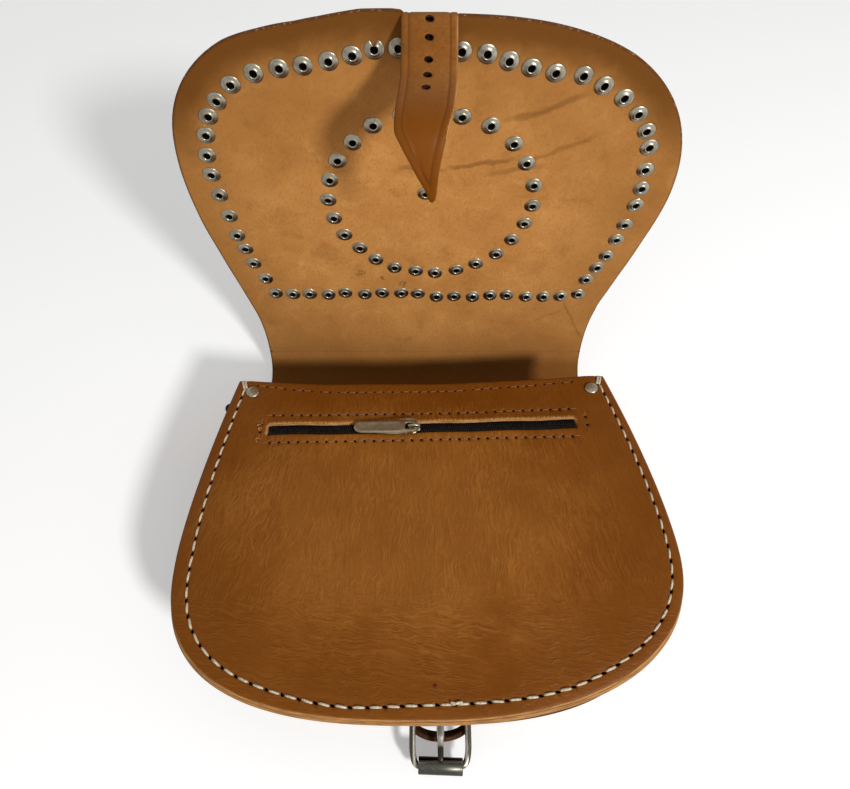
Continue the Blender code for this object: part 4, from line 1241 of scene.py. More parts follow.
def eyeletPlaces():
    places = []
    start, end, row = eyeletForm["foot"]
    after, before, drop = eyeletForm["lowered"]
    last = eyeletForm["footCount"] - 1
    for i in range(last + 1):
        places.append((start + (end - start) * i / last, row - (drop if after < i < before else 0)))
    swing, middle, reach, above = eyeletForm["bulge"]
    step, top, run = eyeletForm["shoulder"]
    for side, line in ((-1, flapLeft), (1, flapRight)):
        bulge = swing * hump(np.abs(line[:, 0]) - middle, reach) * (line[:, 1] > above)
        shoulder = step * rising(-line[:, 1], -top, run)
        border = line + side * sideways(line) * (eyeletForm["inset"] + bulge + shoulder)[:, None]
        start, end = eyeletForm["sides"][side]
        border = border[(border[:, 1] > start) & (side * border[:, 0] > side * end)]
        border = np.vstack([border, [end, border[-1, 1]]])
        places += alongSpaced(border, eyeletForm["spacings"][side], eyeletForm["sideCount"]).tolist()
    u, s = eyeletForm["ringAt"]
    uneven, phase = (math.radians(value) for value in eyeletForm["ringUneven"])
    for i in range(eyeletForm["ringCount"]):
        angle = math.radians(eyeletForm["ringStart"] - 360 / eyeletForm["ringCount"] * i)
        angle = angle - uneven * math.cos(angle + phase)
        radius = eyeletForm["ringRadius"]
        places.append((u + radius * math.cos(angle), s + radius * math.sin(angle)))
    places.append(eyeletForm["centreAt"])
    draw = np.random.default_rng(5)
    across, along = eyeletForm["strayed"]
    return [(u + draw.uniform(-across, across), s + draw.uniform(-along, along)) for u, s in places]


eyelets = eyeletPlaces()
for line in (flapLeft, flapRight):
    line[:, 1] -= np.interp(line[:, 0], *zip(*flapForm["topDip"])) * (line[:, 1] > 250)


def makeHide():
    half = flapForm["thickness"] / 2
    split = flapForm["split"]

    def place(u, s, height):
        return hidePlace(u, s, height - half)

    def joinsFlap(flat):
        return (flat[:, 1] > split - 3) & (np.abs(flat[:, 0]) < 107.5)

    def joinsNeck(flat):
        return (flat[:, 1] < split + 3) & (np.abs(flat[:, 0]) < 107.5)

    finishes = (fleshHide, outerHide, flapEdge)
    sides = (flapLeft, flapRight)
    at = [[np.interp(split, side[:300, 1], side[:300, 0]), split] for side in sides]
    left, right = (np.vstack([side[side[:, 1] < split - 0.6], at[k]]) for k, side in enumerate(sides))
    loop = chain([left[::-1], np.vstack([left[0], right[0]]), right, np.vstack([right[-1], left[-1]])], 1.6)
    blank = cutBlank(loop, (), 2.6)
    neck = leather("neck_hide", blank, place, 2 * half, finishes, joinsFlap)
    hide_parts("flap_neck")
    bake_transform(neck)
    left, right = (np.vstack([at[k], side[side[:, 1] > split + 0.6]]) for k, side in enumerate(sides))
    loop = chain([left, right[::-1], np.vstack([right[0], left[0]])], 1.5)
    holes = [roundHole(eyelet, 1.9, 10) for eyelet in eyelets]
    blank = cutBlank(loop, holes, 2.4)
    flap = leather("flap_hide", blank, place, 2 * half, finishes, joinsNeck)
    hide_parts("flap_panel")
    a, b = (hidePlace(np.zeros(1), np.array([s]), np.zeros(1))[0] * mm for s in (76, 93))
    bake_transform(flap)


def makeEyelets():
    section, sides = eyeletForm["section"], eyeletForm["turned"]
    batch = Batch()
    draw = np.random.default_rng(8)
    splitOne = min(range(len(eyelets)), key=lambda i: math.dist(eyelets[i], eyeletForm["split"]))
    for i, (u, s) in enumerate(eyelets):
        middle = hidePlace(np.array([u]), np.array([s]), np.zeros(1))[0]
        axis = hideNormal(u, s) + draw.normal(0, 0.03, 3)
        phase = draw.uniform(0, tau)
        dent = draw.uniform(0, 0.12)

        def warp(radius, height, angle):
            push = 1 + 0.025 * math.cos(2 * angle + phase)
            sink = dent * math.cos(angle + phase) if height > 1.2 else 0
            if height < -1.2:
                push += 0.05 * math.cos(6 * angle + phase)
            if i == splitOne and height > 1 and radius > 1.9 and abs(angle - tau * 0.75) < 0.16:
                radius = 1.9
            return radius * (push if radius > 1.8 else 1), height + sink

        points, faces = turnedOf(section, middle, axis, sides, True, warp)
        # the bore's faces, and a short sleeve inside it, take the bore's painted shade
        batch.add(points, faces, [1] * (2 * sides) + [0] * (len(faces) - 2 * sides))
        batch.add(*turnedOf(((1.66, -0.9), (1.66, -0.4)), middle, axis, 14), 1)
    settle(batch.build("flap_eyelets", (studNickel, studBoreShade)), "nickel", "flap")


makeHide()
makeEyelets()
print("flap made")

# the strap; u runs across it and s from its sewn end over the flap's edge to the tip
strapForm = {
    "width": 24.4,
    "thickness": 2.4,
    "offset": 2.0,
    "anchorFrom": 259.0,
    "over": 291.3,
    "turn": 4.6,
    "step": 0.5,
    "headings": (  # its slope in degrees at lengths past the edge
        (0, 208), (8, 204), (18, 209), (30, 188), (42, 178), (54, 199), (66, 242), (80, 276), (115, 286),
    ),
    "length": 92.7,
    "taper": {  # its half width at lengths from the tip
        "right": (
            (0, 0), (0.5, 1.1), (2.7, 2.0), (11.7, 3.7), (20.7, 5.8), (28.7, 8.2), (35.7, 10.4), (43, 12.2),
        ),
        "left": ((0, 0), (0.6, 0.8), (5.7, 1.5), (11.7, 3.1), (17.7, 5.1), (23.7, 7.6), (33.4, 12.2)),
    },
    "holes": (1.9, 10.5, 20.5, 28.4, 36.0),
    "sewnEnd": ((3.6, 0), (8.2, 4.2), (8.7, 20), (9.2, 24)),  # half width and length
    "fullWidthAt": 31,
    "crease": (0.28, 3.4, 0.55),
    "curl": (0.35, 12, 30),
    "bow": (2.4, 58, 21),
    "tipLean": (1.6, 76, 26),
}


def strapLine():
    # lengths, y, z and heading along its middle, from its sewn end to the tip, and where it comes free
    half = flapForm["thickness"] / 2 + 0.15 + strapForm["thickness"] / 2
    step, turn = strapForm["step"], strapForm["turn"]
    s = np.arange(strapForm["anchorFrom"], strapForm["over"], step)
    angles = list(np.interp(s, riseLength, riseAngle))
    upright = angles[-1]
    for k in range(int((turn + strapForm["length"]) / step)):
        run = k * step
        if run < turn:
            angles.append(upright + (math.radians(strapForm["headings"][0][1]) - upright) * run / turn)
        else:
            angles.append(math.radians(np.interp(run - turn, *zip(*strapForm["headings"]))))
    angles = soften(np.array(angles), 14)
    start = hidePlace(np.full(1, strapForm["offset"]), s[:1], np.full(1, -half))[0, 1:]
    walk = np.cumsum(np.column_stack([np.cos(angles), np.sin(angles)]) * step, axis=0)
    points = start + np.vstack([[0, 0], walk[:-1]])
    return np.arange(len(points)) * step, points[:, 0], points[:, 1], angles, len(s) * step + turn


strapLengths, strapY, strapZ, strapAngle, strapFree = strapLine()


def strapPlace(u, s, height):
    # height 0 is the flesh side, which lies against the flap's back
    y, z, angle = (np.interp(s, strapLengths, values) for values in (strapY, strapZ, strapAngle))
    rise = strapForm["thickness"] / 2 - height
    total = strapFree + strapForm["length"]
    half = np.interp(total - s, *zip(*strapForm["taper"]["right"]))
    edge = half - np.abs(u - strapForm["offset"])
    deep, inset, wide = strapForm["crease"]
    crease = deep * hump(edge - inset, wide) * np.where(height > 1.2, 1, 0)
    lift, reach, over = strapForm["curl"]
    curl = lift * (np.abs(u - strapForm["offset"]) / reach) ** 2 * rising(s, strapFree, over)
    rise = rise + crease + curl
    run = s - strapFree
    bow, bowAt, bowReach = strapForm["bow"]
    lean, leanFrom, leanRun = strapForm["tipLean"]
    u = u - bow * hump(run - bowAt, bowReach) + lean * rising(run, leanFrom, leanRun)
    return np.column_stack([u, y - np.sin(angle) * rise, z + np.cos(angle) * rise])


def makeStrap():
    middle = strapForm["offset"]
    half = strapForm["width"] / 2
    total = strapFree + strapForm["length"]
    sides = []
    for taper in strapForm["taper"].values():
        side = [*strapForm["sewnEnd"], (half, strapForm["fullWidthAt"])]
        side += [(wide, total - left) for left, wide in taper[::-1]]
        sides.append(smoothCurve(np.array(side), 0.8, 3))
    right, left = sides[0], sides[1][::-1] * np.array([-1, 1])
    loop = chain([right, left, np.vstack([left[-1], right[0]])], 1.0) + np.array([middle, 0])
    holes = []
    for i, run in enumerate(strapForm["holes"]):
        holes.append(roundHole((middle - 0.2 * i, strapFree + run), 1.6, 14, 0.3, 1.25))
    blank = cutBlank(loop, holes, 1.7, (0.35, 0.9, 1.7, 2.5, 3.0, 3.4, 3.8, 4.4))

    def rightEdge(flat):
        return np.where((flat[:, 0] > middle + 9) & (flat[:, 1] > strapFree), 0.75, 0)

    thickness, finishes = strapForm["thickness"], (strapHide, liningHide, rawEdge, holeShade)
    piece = leather("strap_hide", blank, strapPlace, thickness, finishes, bevel=rightEdge, blind=True)
    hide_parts("flap_strap", "strap_anchor")
    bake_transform(piece)


makeStrap()
print("strap made")

threadForm = {
    "rise": (-0.75, 0.05, 0.34, 0.42, 0.42, 0.34, 0.05, -0.75),
    "swell": (0.62, 0.9, 1.0, 1.03, 1.03, 1.0, 0.9, 0.62),
    # the loops over the mouth's corners: place across, top and lean, and their run and height
    "corners": ((-110.6, -0.9, 1.6), (107.0, -4.5, -1.4)),
    "apart": 0.75,
    "overFront": ((8.0, 1.9), (7.0, 2.55), (4.6, 2.7), (2.2, 2.7), (0.6, 2.6)),
    "overEdge": ((0.25, 0.35), (0.55, -1.6), (0.35, -3.6), (-2.6, -5.0)),
    "knotAt": (14.2, 179.0),
    "knotStep": (0.5, 0.25),
    "machineRise": (-0.5, 0.1, 0.2, 0.2, 0.1, -0.5),
    "machineStray": 0.12,
    "missing": 0.16,  # the share of machine stitches worn away
    "looseEnds": ((28.4, 3.2), (31.0, 2.2), (38.4, 2.6)),  # below the mouth, and reach
}


def saddleStitches(name, line, surface, start, thick, wobble):
    # a thread that lies along the surface and dives at each hole
    points, _ = alongLine(line, frontForm["stitchPitch"], start)
    draw = np.random.default_rng(wobble)
    batch = Batch()
    rise, swell = np.array(threadForm["rise"]), np.array(threadForm["swell"])
    for i in range(len(points) - 1):
        a, b = points[i], points[i + 1]
        reach = np.linspace(0.14, 0.86, 8) + draw.uniform(-0.012, 0.012)
        side = np.array([-(b - a)[1], (b - a)[0]]) * 0.035 * draw.uniform(0.2, 1.4)
        lean = np.linspace(-1, 1, 8)[:, None]
        flat = a + (b - a) * reach[:, None] + side * lean
        path = surface(flat[:, 0], flat[:, 1], rise + draw.uniform(-0.05, 0.05))
        batch.add(*tubeOf(path, thick * swell * draw.uniform(0.93, 1.07), 8))
    return batch.build(name, (whiteThread,))


def onFront(u, t, lift):
    return frontPlace(u, t, frontForm["thickness"] + lift)


def onBackRim(u, t, lift):
    return np.column_stack([u, frontForm["mouthY"] - t, 4.5 + lift])


def onBackFace(u, t, lift):
    return np.column_stack([u, frontForm["mouthY"] - t, 0.12 - 0.55 * lift])


def makeSaddleStitches():
    backSeam = backSewn + inwardOf(backSewn) * frontForm["backInset"]
    rows = (
        ("front_stitches", frontSeam, onFront, 3.2, 0.62, 2, ["front_seam_thread"]),
        ("back_rim_stitches", backSeam, onBackRim, 2.4, 0.55, 3, ["back_seam_thread"]),
        ("back_face_stitches", backSeam, onBackFace, 2.4, 0.6, 4, []),
    )
    for *row, nodes in rows:
        settle(saddleStitches(*row), "waxed_thread", "bag", *nodes)


def makeThreadEnds():
    # the thread's first turns over the mouth's corners, and the knot low on the front
    batch = Batch()
    for u, top, lean in threadForm["corners"]:
        for offset in (-threadForm["apart"], threadForm["apart"]):
            path = []
            for t, height in threadForm["overFront"]:
                share = (8.6 - t) / 8
                path.append(frontPlace(np.array([u + offset + lean * (0.9 - share)]),
                                       np.array([top + t * 0.62]), np.array([height]))[0])
            edge = frontPlace(np.array([u + offset]), np.array([top - 0.5]), np.array([2.1]))[0]
            for over, down in threadForm["overEdge"]:
                path.append(edge + np.array([0, over, down]))
            batch.add(*tubeOf(smoothCurve(np.array(path), 0.8, 2), 0.68, 9))
    draw = np.random.default_rng(12)
    for k in range(3):
        base = np.array(threadForm["knotAt"]) + np.array(threadForm["knotStep"]) * k
        flat = base + np.column_stack([np.linspace(-2.3, 2.3, 9), 0.5 * np.sin(np.linspace(0, 3, 9) + k)])
        lift = 0.55 + 0.35 * np.cos(np.linspace(-1.5, 1.5, 9)) + 0.1 * k
        batch.add(*tubeOf(onFront(flat[:, 0], flat[:, 1], lift), 0.55 + 0.08 * draw.random(), 8))
    settle(batch.build("thread_ends", (whiteThread,)), "waxed_thread", "bag")


def makeMachineStitches():
    batch = Batch()
    draw = np.random.default_rng(6)
    rise, stray = np.array(threadForm["machineRise"]), threadForm["machineStray"]
    for places in machineRows:
        for a, b in zip(places[:-1], places[1:]):
            if draw.random() < threadForm["missing"]:
                continue
            flat = a + (b - a) * np.linspace(0.1, 0.9, 6)[:, None] + draw.uniform(-stray, stray, 2)
            path = onFront(flat[:, 0], flat[:, 1], rise + draw.uniform(-stray, 0.03))
            batch.add(*tubeOf(path, 0.25, 6))
    settle(batch.build("machine_stitches", (fineThread,)), "waxed_thread", "bag")
    loose = Batch()
    for k, (t, reach) in enumerate(threadForm["looseEnds"]):
        run = np.linspace(0, 1, 9)
        u = zipForm["left"] - 3.4 - reach * np.sin(run * 2.4)
        flat = np.column_stack([u, t + 2.6 * run + 0.7 * np.sin(run * 5 + k)])
        loose.add(*tubeOf(onFront(flat[:, 0], flat[:, 1], 0.15 + 0.9 * np.sin(run * 3.0)), 0.2, 6))
    settle(loose.build("loose_thread_ends", (tanThread,)), "waxed_thread", "bag")


makeSaddleStitches()
makeThreadEnds()
makeMachineStitches()
print("stitches made")

# the zip and its pocket
zipParts = {
    "turn": 1.4,
    "centre": (-6.0, 61.65, 0.0),
    "tape": (-96, 94),
    "tapeAcross": (1.3, 11.6),
    "tapeHeight": 59.15,
    "coil": (-91.4, 89.2),
    "coilTurns": 146,
    # one turn of the coil: across from the middle, and height
    "coilLoop": ((3.2, 59.65), (3.15, 60.35), (2.2, 61.0), (1.2, 61.15), (0.3, 61.05), (-0.35, 60.5)),
    "slider": (  # half its outline
        (-5.0, -1.6), (-4.6, -2.3), (-1.5, -2.5), (2.6, -3.1), (4.3, -2.9), (5.0, -1.8), (4.2, -0.5),
        (4.0, 0),
    ),
    "sliderSize": (0.74, 0.82),
    "plates": ((61.62, 62.75, 0.3), (57.65, 58.5, 0.25)),  # from, to and chamfer
    "post": ((-2, -0.4), (2, -0.4), (2, 0.4), (-2, 0.4)),
    "arch": (
        (-3.6, 62.5), (-3.9, 63.6), (-3.5, 64.9), (-1.6, 65.5), (1.0, 65.4), (2.4, 64.6), (2.9, 63.6),
        (3.0, 62.5),
    ),
    "pullerEnd": (-31.6, 3.9, 3.75),
    "pullerNear": ((-1.0, -3.6), (0.3, -3.2), (0.9, -2.2), (0.9, 2.2), (0.3, 3.2), (-1.0, 3.6)),
    "pullerHole": (
        (-5.6, -1.5), (-5.1, -2.0), (-1.2, -2.0), (-0.7, -1.6), (-0.7, 1.6), (-1.2, 2.0), (-5.1, 2.0),
        (-5.6, 1.5), (-5.6, -1.5),
    ),
    "pullerHeight": 63.3,
    "pullerThickness": 1.2,
}


def turned(points, x, y, angle):
    # points turned by this angle in the plane of two of their columns
    points = np.array(points, float)
    c, s = math.cos(angle), math.sin(angle)
    points[:, x], points[:, y] = points[:, x] * c - points[:, y] * s, points[:, x] * s + points[:, y] * c
    return points


def onZip(points):
    # the slider's and puller's own frame, turned with the zip
    return turned(points, 0, 1, math.radians(zipParts["turn"])) + np.array(zipParts["centre"])


def zipPlace(u, across, height):
    t = slotLine(u) + across
    return np.column_stack([u, frontForm["mouthY"] - t, height + frontLift(u, t)])


def makeZip():
    us = np.linspace(*zipParts["tape"], 120)
    sides = (("upper", -1), ("lower", 1))
    for name, side in sides:
        across = side * np.linspace(*zipParts["tapeAcross"], 10)
        grid = [zipPlace(us, np.full(120, away), zipParts["tapeHeight"]) for away in across]
        piece = sheetPiece("zip_tape_" + name + "_weave", np.stack(grid), 0.55, (zipCloth,) * 3)
        settle(piece, "zip_cloth", "bag", "zip_tape_" + name)
    start, end = zipParts["coil"]
    count = zipParts["coilTurns"]
    across, height = np.array(zipParts["coilLoop"]).T
    for name, side in sides:
        batch = Batch()
        for k in range(count):
            u = start + (end - start) * (k + (0.5 if side > 0 else 0)) / count
            batch.add(*tubeOf(zipPlace(np.full(6, u), side * across, height), 0.43, 6))
        base = zipPlace(us, np.full(120, side * 2.3), 60.15)
        batch.add(*tubeOf(base, 0.62, 6))
        piece = batch.build("zip_coil_" + name + "_turns", (zipNylon,))
        settle(piece, "zip_nylon", "bag", "zip_coil_" + name)


def makeSlider():
    half = smoothCurve(np.array(zipParts["slider"]) * np.array(zipParts["sliderSize"]), 0.7, 2)
    outline = np.vstack([half, half[::-1][1:] * np.array([1, -1])])[:-1]
    shapes = [(outline, *plate) for plate in zipParts["plates"]]
    batch = Batch()
    for shape in (*shapes, (zipParts["post"], 58.3, 61.8, 0.1)):
        points, faces = plateOf(*shape)
        batch.add(onZip(points), faces)
    arch = smoothCurve([(x, 0, z) for x, z in zipParts["arch"]], 0.6, 2)
    batch.add(*tubeOf(onZip(arch), 0.62, 8, up=(0, 1, 0), flat=1.35))
    settle(batch.build("zip_slider_body", (nickel,)), "nickel", "slider", "zip_slider")


def makePuller():
    end, long, wide = zipParts["pullerEnd"]
    turn = np.linspace(math.pi / 2, 3 * math.pi / 2, 14)
    far = np.column_stack([end + long * np.cos(turn), wide * np.sin(turn)])
    loop = chain([np.vstack([far, zipParts["pullerNear"], far[:1]])], 0.8)
    hole = chain([zipParts["pullerHole"]], 0.7)
    blank = cutBlank(loop, (), 1.3, (0.35, 0.9), [hole])

    def place(x, y, height):
        lip = 0.22 * hump(np.abs(y) - 3.2, 0.5) * (height > 0.6)
        return onZip(np.column_stack([x, y, zipParts["pullerHeight"] + height + lip]))

    finishes = (pullerNickel,) * 3
    piece = leather("zip_puller_plate", blank, place, zipParts["pullerThickness"], finishes, roundness=0.28)
    settle(piece, "nickel", "puller", "zip_puller")


def bandPiece(name, path, width, thickness, toWorld, finishes, holes=(), corner=1.5, grain=1.8):
    # a strip of hide laid along a path in a plane; toWorld(a, b, across) gives its place
    path = smoothCurve(path, 0.6, 4)
    length = lengthAlong(path)
    side = sideways(path)
    half, total = width / 2, length[-1]
    outline = []
    for x, y, turn in ((half, total, 0), (-half, total, 1), (-half, 0, 2), (half, 0, 3)):
        angle = (turn + np.linspace(0, 1, 5)) * math.pi / 2
        centre = np.array([x - math.copysign(corner, x), y - (corner if y else -corner)])
        outline.append(centre + corner * np.column_stack([np.cos(angle), np.sin(angle)]))
    outline = np.vstack(outline)
    loop = chain([np.vstack([outline, outline[:1]])], 1.0)
    blank = cutBlank(loop, holes, grain, (0.35, 0.9))

    def place(u, s, height):
        laid = pointsAt(s, length, path) + pointsAt(s, length, side) * (height - thickness / 2)[:, None]
        return toWorld(laid[:, 0], laid[:, 1], u)

    return leather(name, blank, place, thickness, finishes, roundness=min(0.45, thickness / 4))


pocketForm = {
    "width": 184,
    "leather": 0.8,
    # the pouch's run down from the upper tape, round its foot and back up, in y and z
    "path": (
        (77, 58.25), (73, 58.2), (70.4, 58.15), (69.1, 57.2), (64, 56.95), (20, 56.9), (-40, 56.9),
        (-55, 56.95), (-56.7, 57.5), (-55, 58.15), (-40, 58.2), (20, 58.2), (55, 58.2),
    ),
    "facing": (15, 14.2, 12, 9, 6, 3, 1.2, 0.4),
    "facingHalf": 92,
    "facingHeight": 58.95,
}


def makePocket():
    def toWorld(a, b, across):
        u = across - 1.0
        t = frontForm["mouthY"] - a
        sagging = 0.5 * ripple(u, a, 41, 60) * np.clip((40 - a) / 40, 0, 1)
        return np.column_stack([u, a, b + frontLift(u, t) * np.clip((a + 60) / 60, 0, 1) - np.abs(sagging)])

    finishes = (liningHide, liningHide, rawEdge)
    path, width, thickness = (pocketForm[key] for key in ("path", "width", "leather"))
    piece = bandPiece("zip_pocket_lining", path, width, thickness, toWorld, finishes, (), 3, 5.0)
    settle(piece, "lining_leather", "bag", "zip_pocket_pouch")
    us = np.linspace(-pocketForm["facingHalf"], pocketForm["facingHalf"], 90)
    rows = []
    for t in pocketForm["facing"]:
        wave = t + 0.25 * np.sin(us / 7)
        height = pocketForm["facingHeight"] + frontLift(us, wave)
        rows.append(np.column_stack([us, frontForm["mouthY"] - wave, height]))
    piece = sheetPiece("mouth_facing_strip", np.stack(rows), 1.15, finishes)
    settle(piece, "lining_leather", "bag", "mouth_facing")


makeZip()
makeSlider()
makePuller()
makePocket()
print("zip made")

# the rivets, and the side tabs with their rings
rivetForm = {
    "cap": (
        (2.1, -0.1), (4.2, 0.0), (4.42, 0.25), (4.4, 0.7), (4.15, 1.15), (3.6, 1.45), (2.9, 1.62),
        (1.6, 1.72), (0.35, 1.76),
    ),
    "post": 1.35,
    "washer": ((0.5, -1.0), (1.9, -0.95), (2.2, -0.6), (2.2, -0.2), (1.9, -0.05), (0.5, -0.05)),
    "corners": (("left", -104.6, 6.4), ("right", 101.2, 3.9)),
}


def rivetPiece(name, node, base, axis, size, through):
    # a domed cap, a post and the washer that it is clenched over, this far through the hides
    batch = Batch()
    base, axis = np.asarray(base, float), unit(np.asarray(axis, float))
    draw = np.random.default_rng(len(name))
    phase = draw.uniform(0, tau)

    def warp(radius, height, angle):
        return radius, height + 0.05 * math.cos(angle + phase) * radius / 4

    cap = [(r * size, h * size) for r, h in rivetForm["cap"]]
    batch.add(*turnedOf(cap, base, axis, 30, warp=warp))
    post = [(rivetForm["post"], -through - 0.6), (rivetForm["post"], 0.1)]
    batch.add(*turnedOf(post, base, axis, 14))
    washer = [(r, h - through) for r, h in rivetForm["washer"]]
    batch.add(*turnedOf(washer, base, axis, 20))
    settle(batch.build(name, (nickel,)), "nickel", "bag", node)


def makeCornerRivets():
    for word, u, t in rivetForm["corners"]:
        top = frontPlace(np.array([u, u + 1, u]), np.array([t, t, t + 1]), np.full(3, 2.2))
        axis = np.cross(top[2] - top[0], top[1] - top[0])
        rivetPiece("corner_rivet_" + word + "_cap", "corner_rivet_" + word, top[0], axis, 0.9, 4.6)


tabForm = {
    "leather": 1.6,
    "width": 16.0,
    "middle": 31.0,
    "eyes": {"left": (-124.404, 89.5), "right": (109.905, 89.5)},
    "turns": {"left": 75.0, "right": 30.0},
    "ringHalf": 10.2,
    "ringDepth": 15.0,
    "wire": 1.3,
    "runsAt": (40.5, 46, 52, 57.5),
    "rivetAt": 47.0,
    "rivetSize": 0.98,
    "rivetThrough": 5.3,
    "layers": (1.1, 2.75),  # the middles of the tab's two layers, out from the gusset's wall
    "wallInset": 15.5,
    "wall": (132, 18.5, 108),  # the wall's widest half, its narrowing towards the mouth, and over what run
}


def wallX(y, side):
    # the gusset's wall at the bag's side, and its slope there
    widest, narrowing, run = tabForm["wall"]
    share = np.clip(1 - (frontForm["mouthY"] - y) / run, 0, None)
    half = widest - narrowing * share**1.5
    slope = math.atan(narrowing * 1.5 * share**0.5 / run)
    return side * (half - tabForm["wallInset"] / math.cos(slope)), slope


def headingOf(way):
    return math.atan2(way[1], way[0])


def makeSideTab(word):
    side = -1 if word == "left" else 1
    eye = np.array(tabForm["eyes"][word])
    inner, outer = [], []
    near, far = tabForm["layers"]
    for y in tabForm["runsAt"]:
        x, slope = wallX(y, side)
        out = np.array([side * math.cos(slope), math.sin(slope)])
        inner.append(np.array([x, y]) + out * near)
        outer.append(np.array([x, y]) + out * far)
    run = unit(eye - (inner[-1] + outer[-1]) / 2)
    across = np.array([-run[1], run[0]])
    if across @ (outer[-1] - inner[-1]) < 0:
        across = -across
    start = headingOf(-across)
    way = 1 if (headingOf(run) - start) % tau < math.pi else -1
    turns = start + way * np.linspace(0, math.pi, 9)
    arc = eye + far * np.column_stack([np.cos(turns), np.sin(turns)])
    neck = (inner[-1] + outer[-1]) / 2 + run * 8
    close = eye - run * 6
    path = [*inner, neck - across * 0.95, close - across, *arc]
    path += [close + across, neck + across * 0.95, *outer[::-1]]

    def toWorld(a, b, u):
        return np.column_stack([a, b, tabForm["middle"] + u])

    width, thickness = tabForm["width"], tabForm["leather"]
    piece = bandPiece("side_tab_" + word + "_loop", path, width, thickness, toWorld, darkFinishes)
    settle(piece, "dark_leather", "bag", "side_tab_" + word)
    x, slope = wallX(tabForm["rivetAt"], side)
    axis = np.array([side * math.cos(slope), math.sin(slope), 0])
    base = np.array([x, tabForm["rivetAt"], tabForm["middle"]]) + axis * 3.5
    size, through = tabForm["rivetSize"], tabForm["rivetThrough"]
    rivetPiece("side_tab_rivet_" + word + "_cap", "side_tab_rivet_" + word, base, axis, size, through)
    turn = math.radians(tabForm["turns"][word])
    c, s = math.cos(turn), math.sin(turn)
    angle = np.linspace(0, math.pi, 25)
    bow = np.column_stack([-tabForm["ringDepth"] * np.sin(angle) ** 0.8, tabForm["ringHalf"] * np.cos(angle)])
    bar = np.column_stack([np.zeros(5), np.linspace(-0.86, 0.86, 5) * tabForm["ringHalf"]])
    ring = softenLoop(np.vstack([bow, bar]), 2)
    ring[-5:, 0] = 0  # the bar stays straight
    wire = np.column_stack([eye[0] - s * ring[:, 0], eye[1] + c * ring[:, 0], tabForm["middle"] + ring[:, 1]])
    batch = Batch()
    batch.add(*tubeOf(wire, tabForm["wire"], 12, True))
    piece = batch.build("side_ring_" + word + "_wire", (nickel,))
    settle(piece, "nickel", "ring_" + word, "side_ring_" + word)


makeCornerRivets()
makeSideTab("left")
makeSideTab("right")
print("rivets, tabs and rings made")

# the buckle, its tab and the keeper
buckleForm = {
    "pin": (8.0, -84.0, 13.6),
    "droop": 8.0,
    "halfWidth": 14.6,
    "farHalf": 13.2,
    "length": 25.2,
    "straight": 17.0,
    "wire": 1.65,
    "roller": (11.4, 4.2),
    "tongue": (
        (0.2, 2.75), (-4, 3.3), (-9, 4.0), (-12, 4.4), (-14, 4.5), (-19, 5.0), (-21.4, 5.2), (-22.6, 5.0),
        (-23.2, 4.6),
    ),
    "tongueHalf": ((0, 6, 11.5, 12.6, 20, 22.5, 23.4), (2.0, 2.0, 1.95, 1.6, 1.5, 1.3, 0.8)),
    "tongueEye": ((2.05, -1.6), (3.0, -1.6), (3.3, -1.2), (3.3, 1.2), (3.0, 1.6), (2.05, 1.6)),
    "tabWidth": 21.0,
    "tabFrom": (45.5, 38, 30, 24),
    "tabArc": (2.85, 20, -200),  # radius and angles round the pin
    "tabNeck": ((1.5, 19.5), (3.8, 20.2)),  # each layer's distance from the gusset, and height
    "slotHalf": 2.6,
    "slotRun": (-11, 12),
    "tabRivets": (("lower", 28.0), ("upper", 40.0)),
    "wall": (77.5, 6, 57.5, 53),  # the gusset's foot: its distance from the middle, lean, top and height
}


def onBuckle(points):
    # the buckle's own frame: x along its pin and -y towards the roller
    return turned(points, 1, 2, math.radians(buckleForm["droop"])) + np.array(buckleForm["pin"])


def wallY(z):
    away, lean, top, height = buckleForm["wall"]
    return -away + lean * (top - z) / height


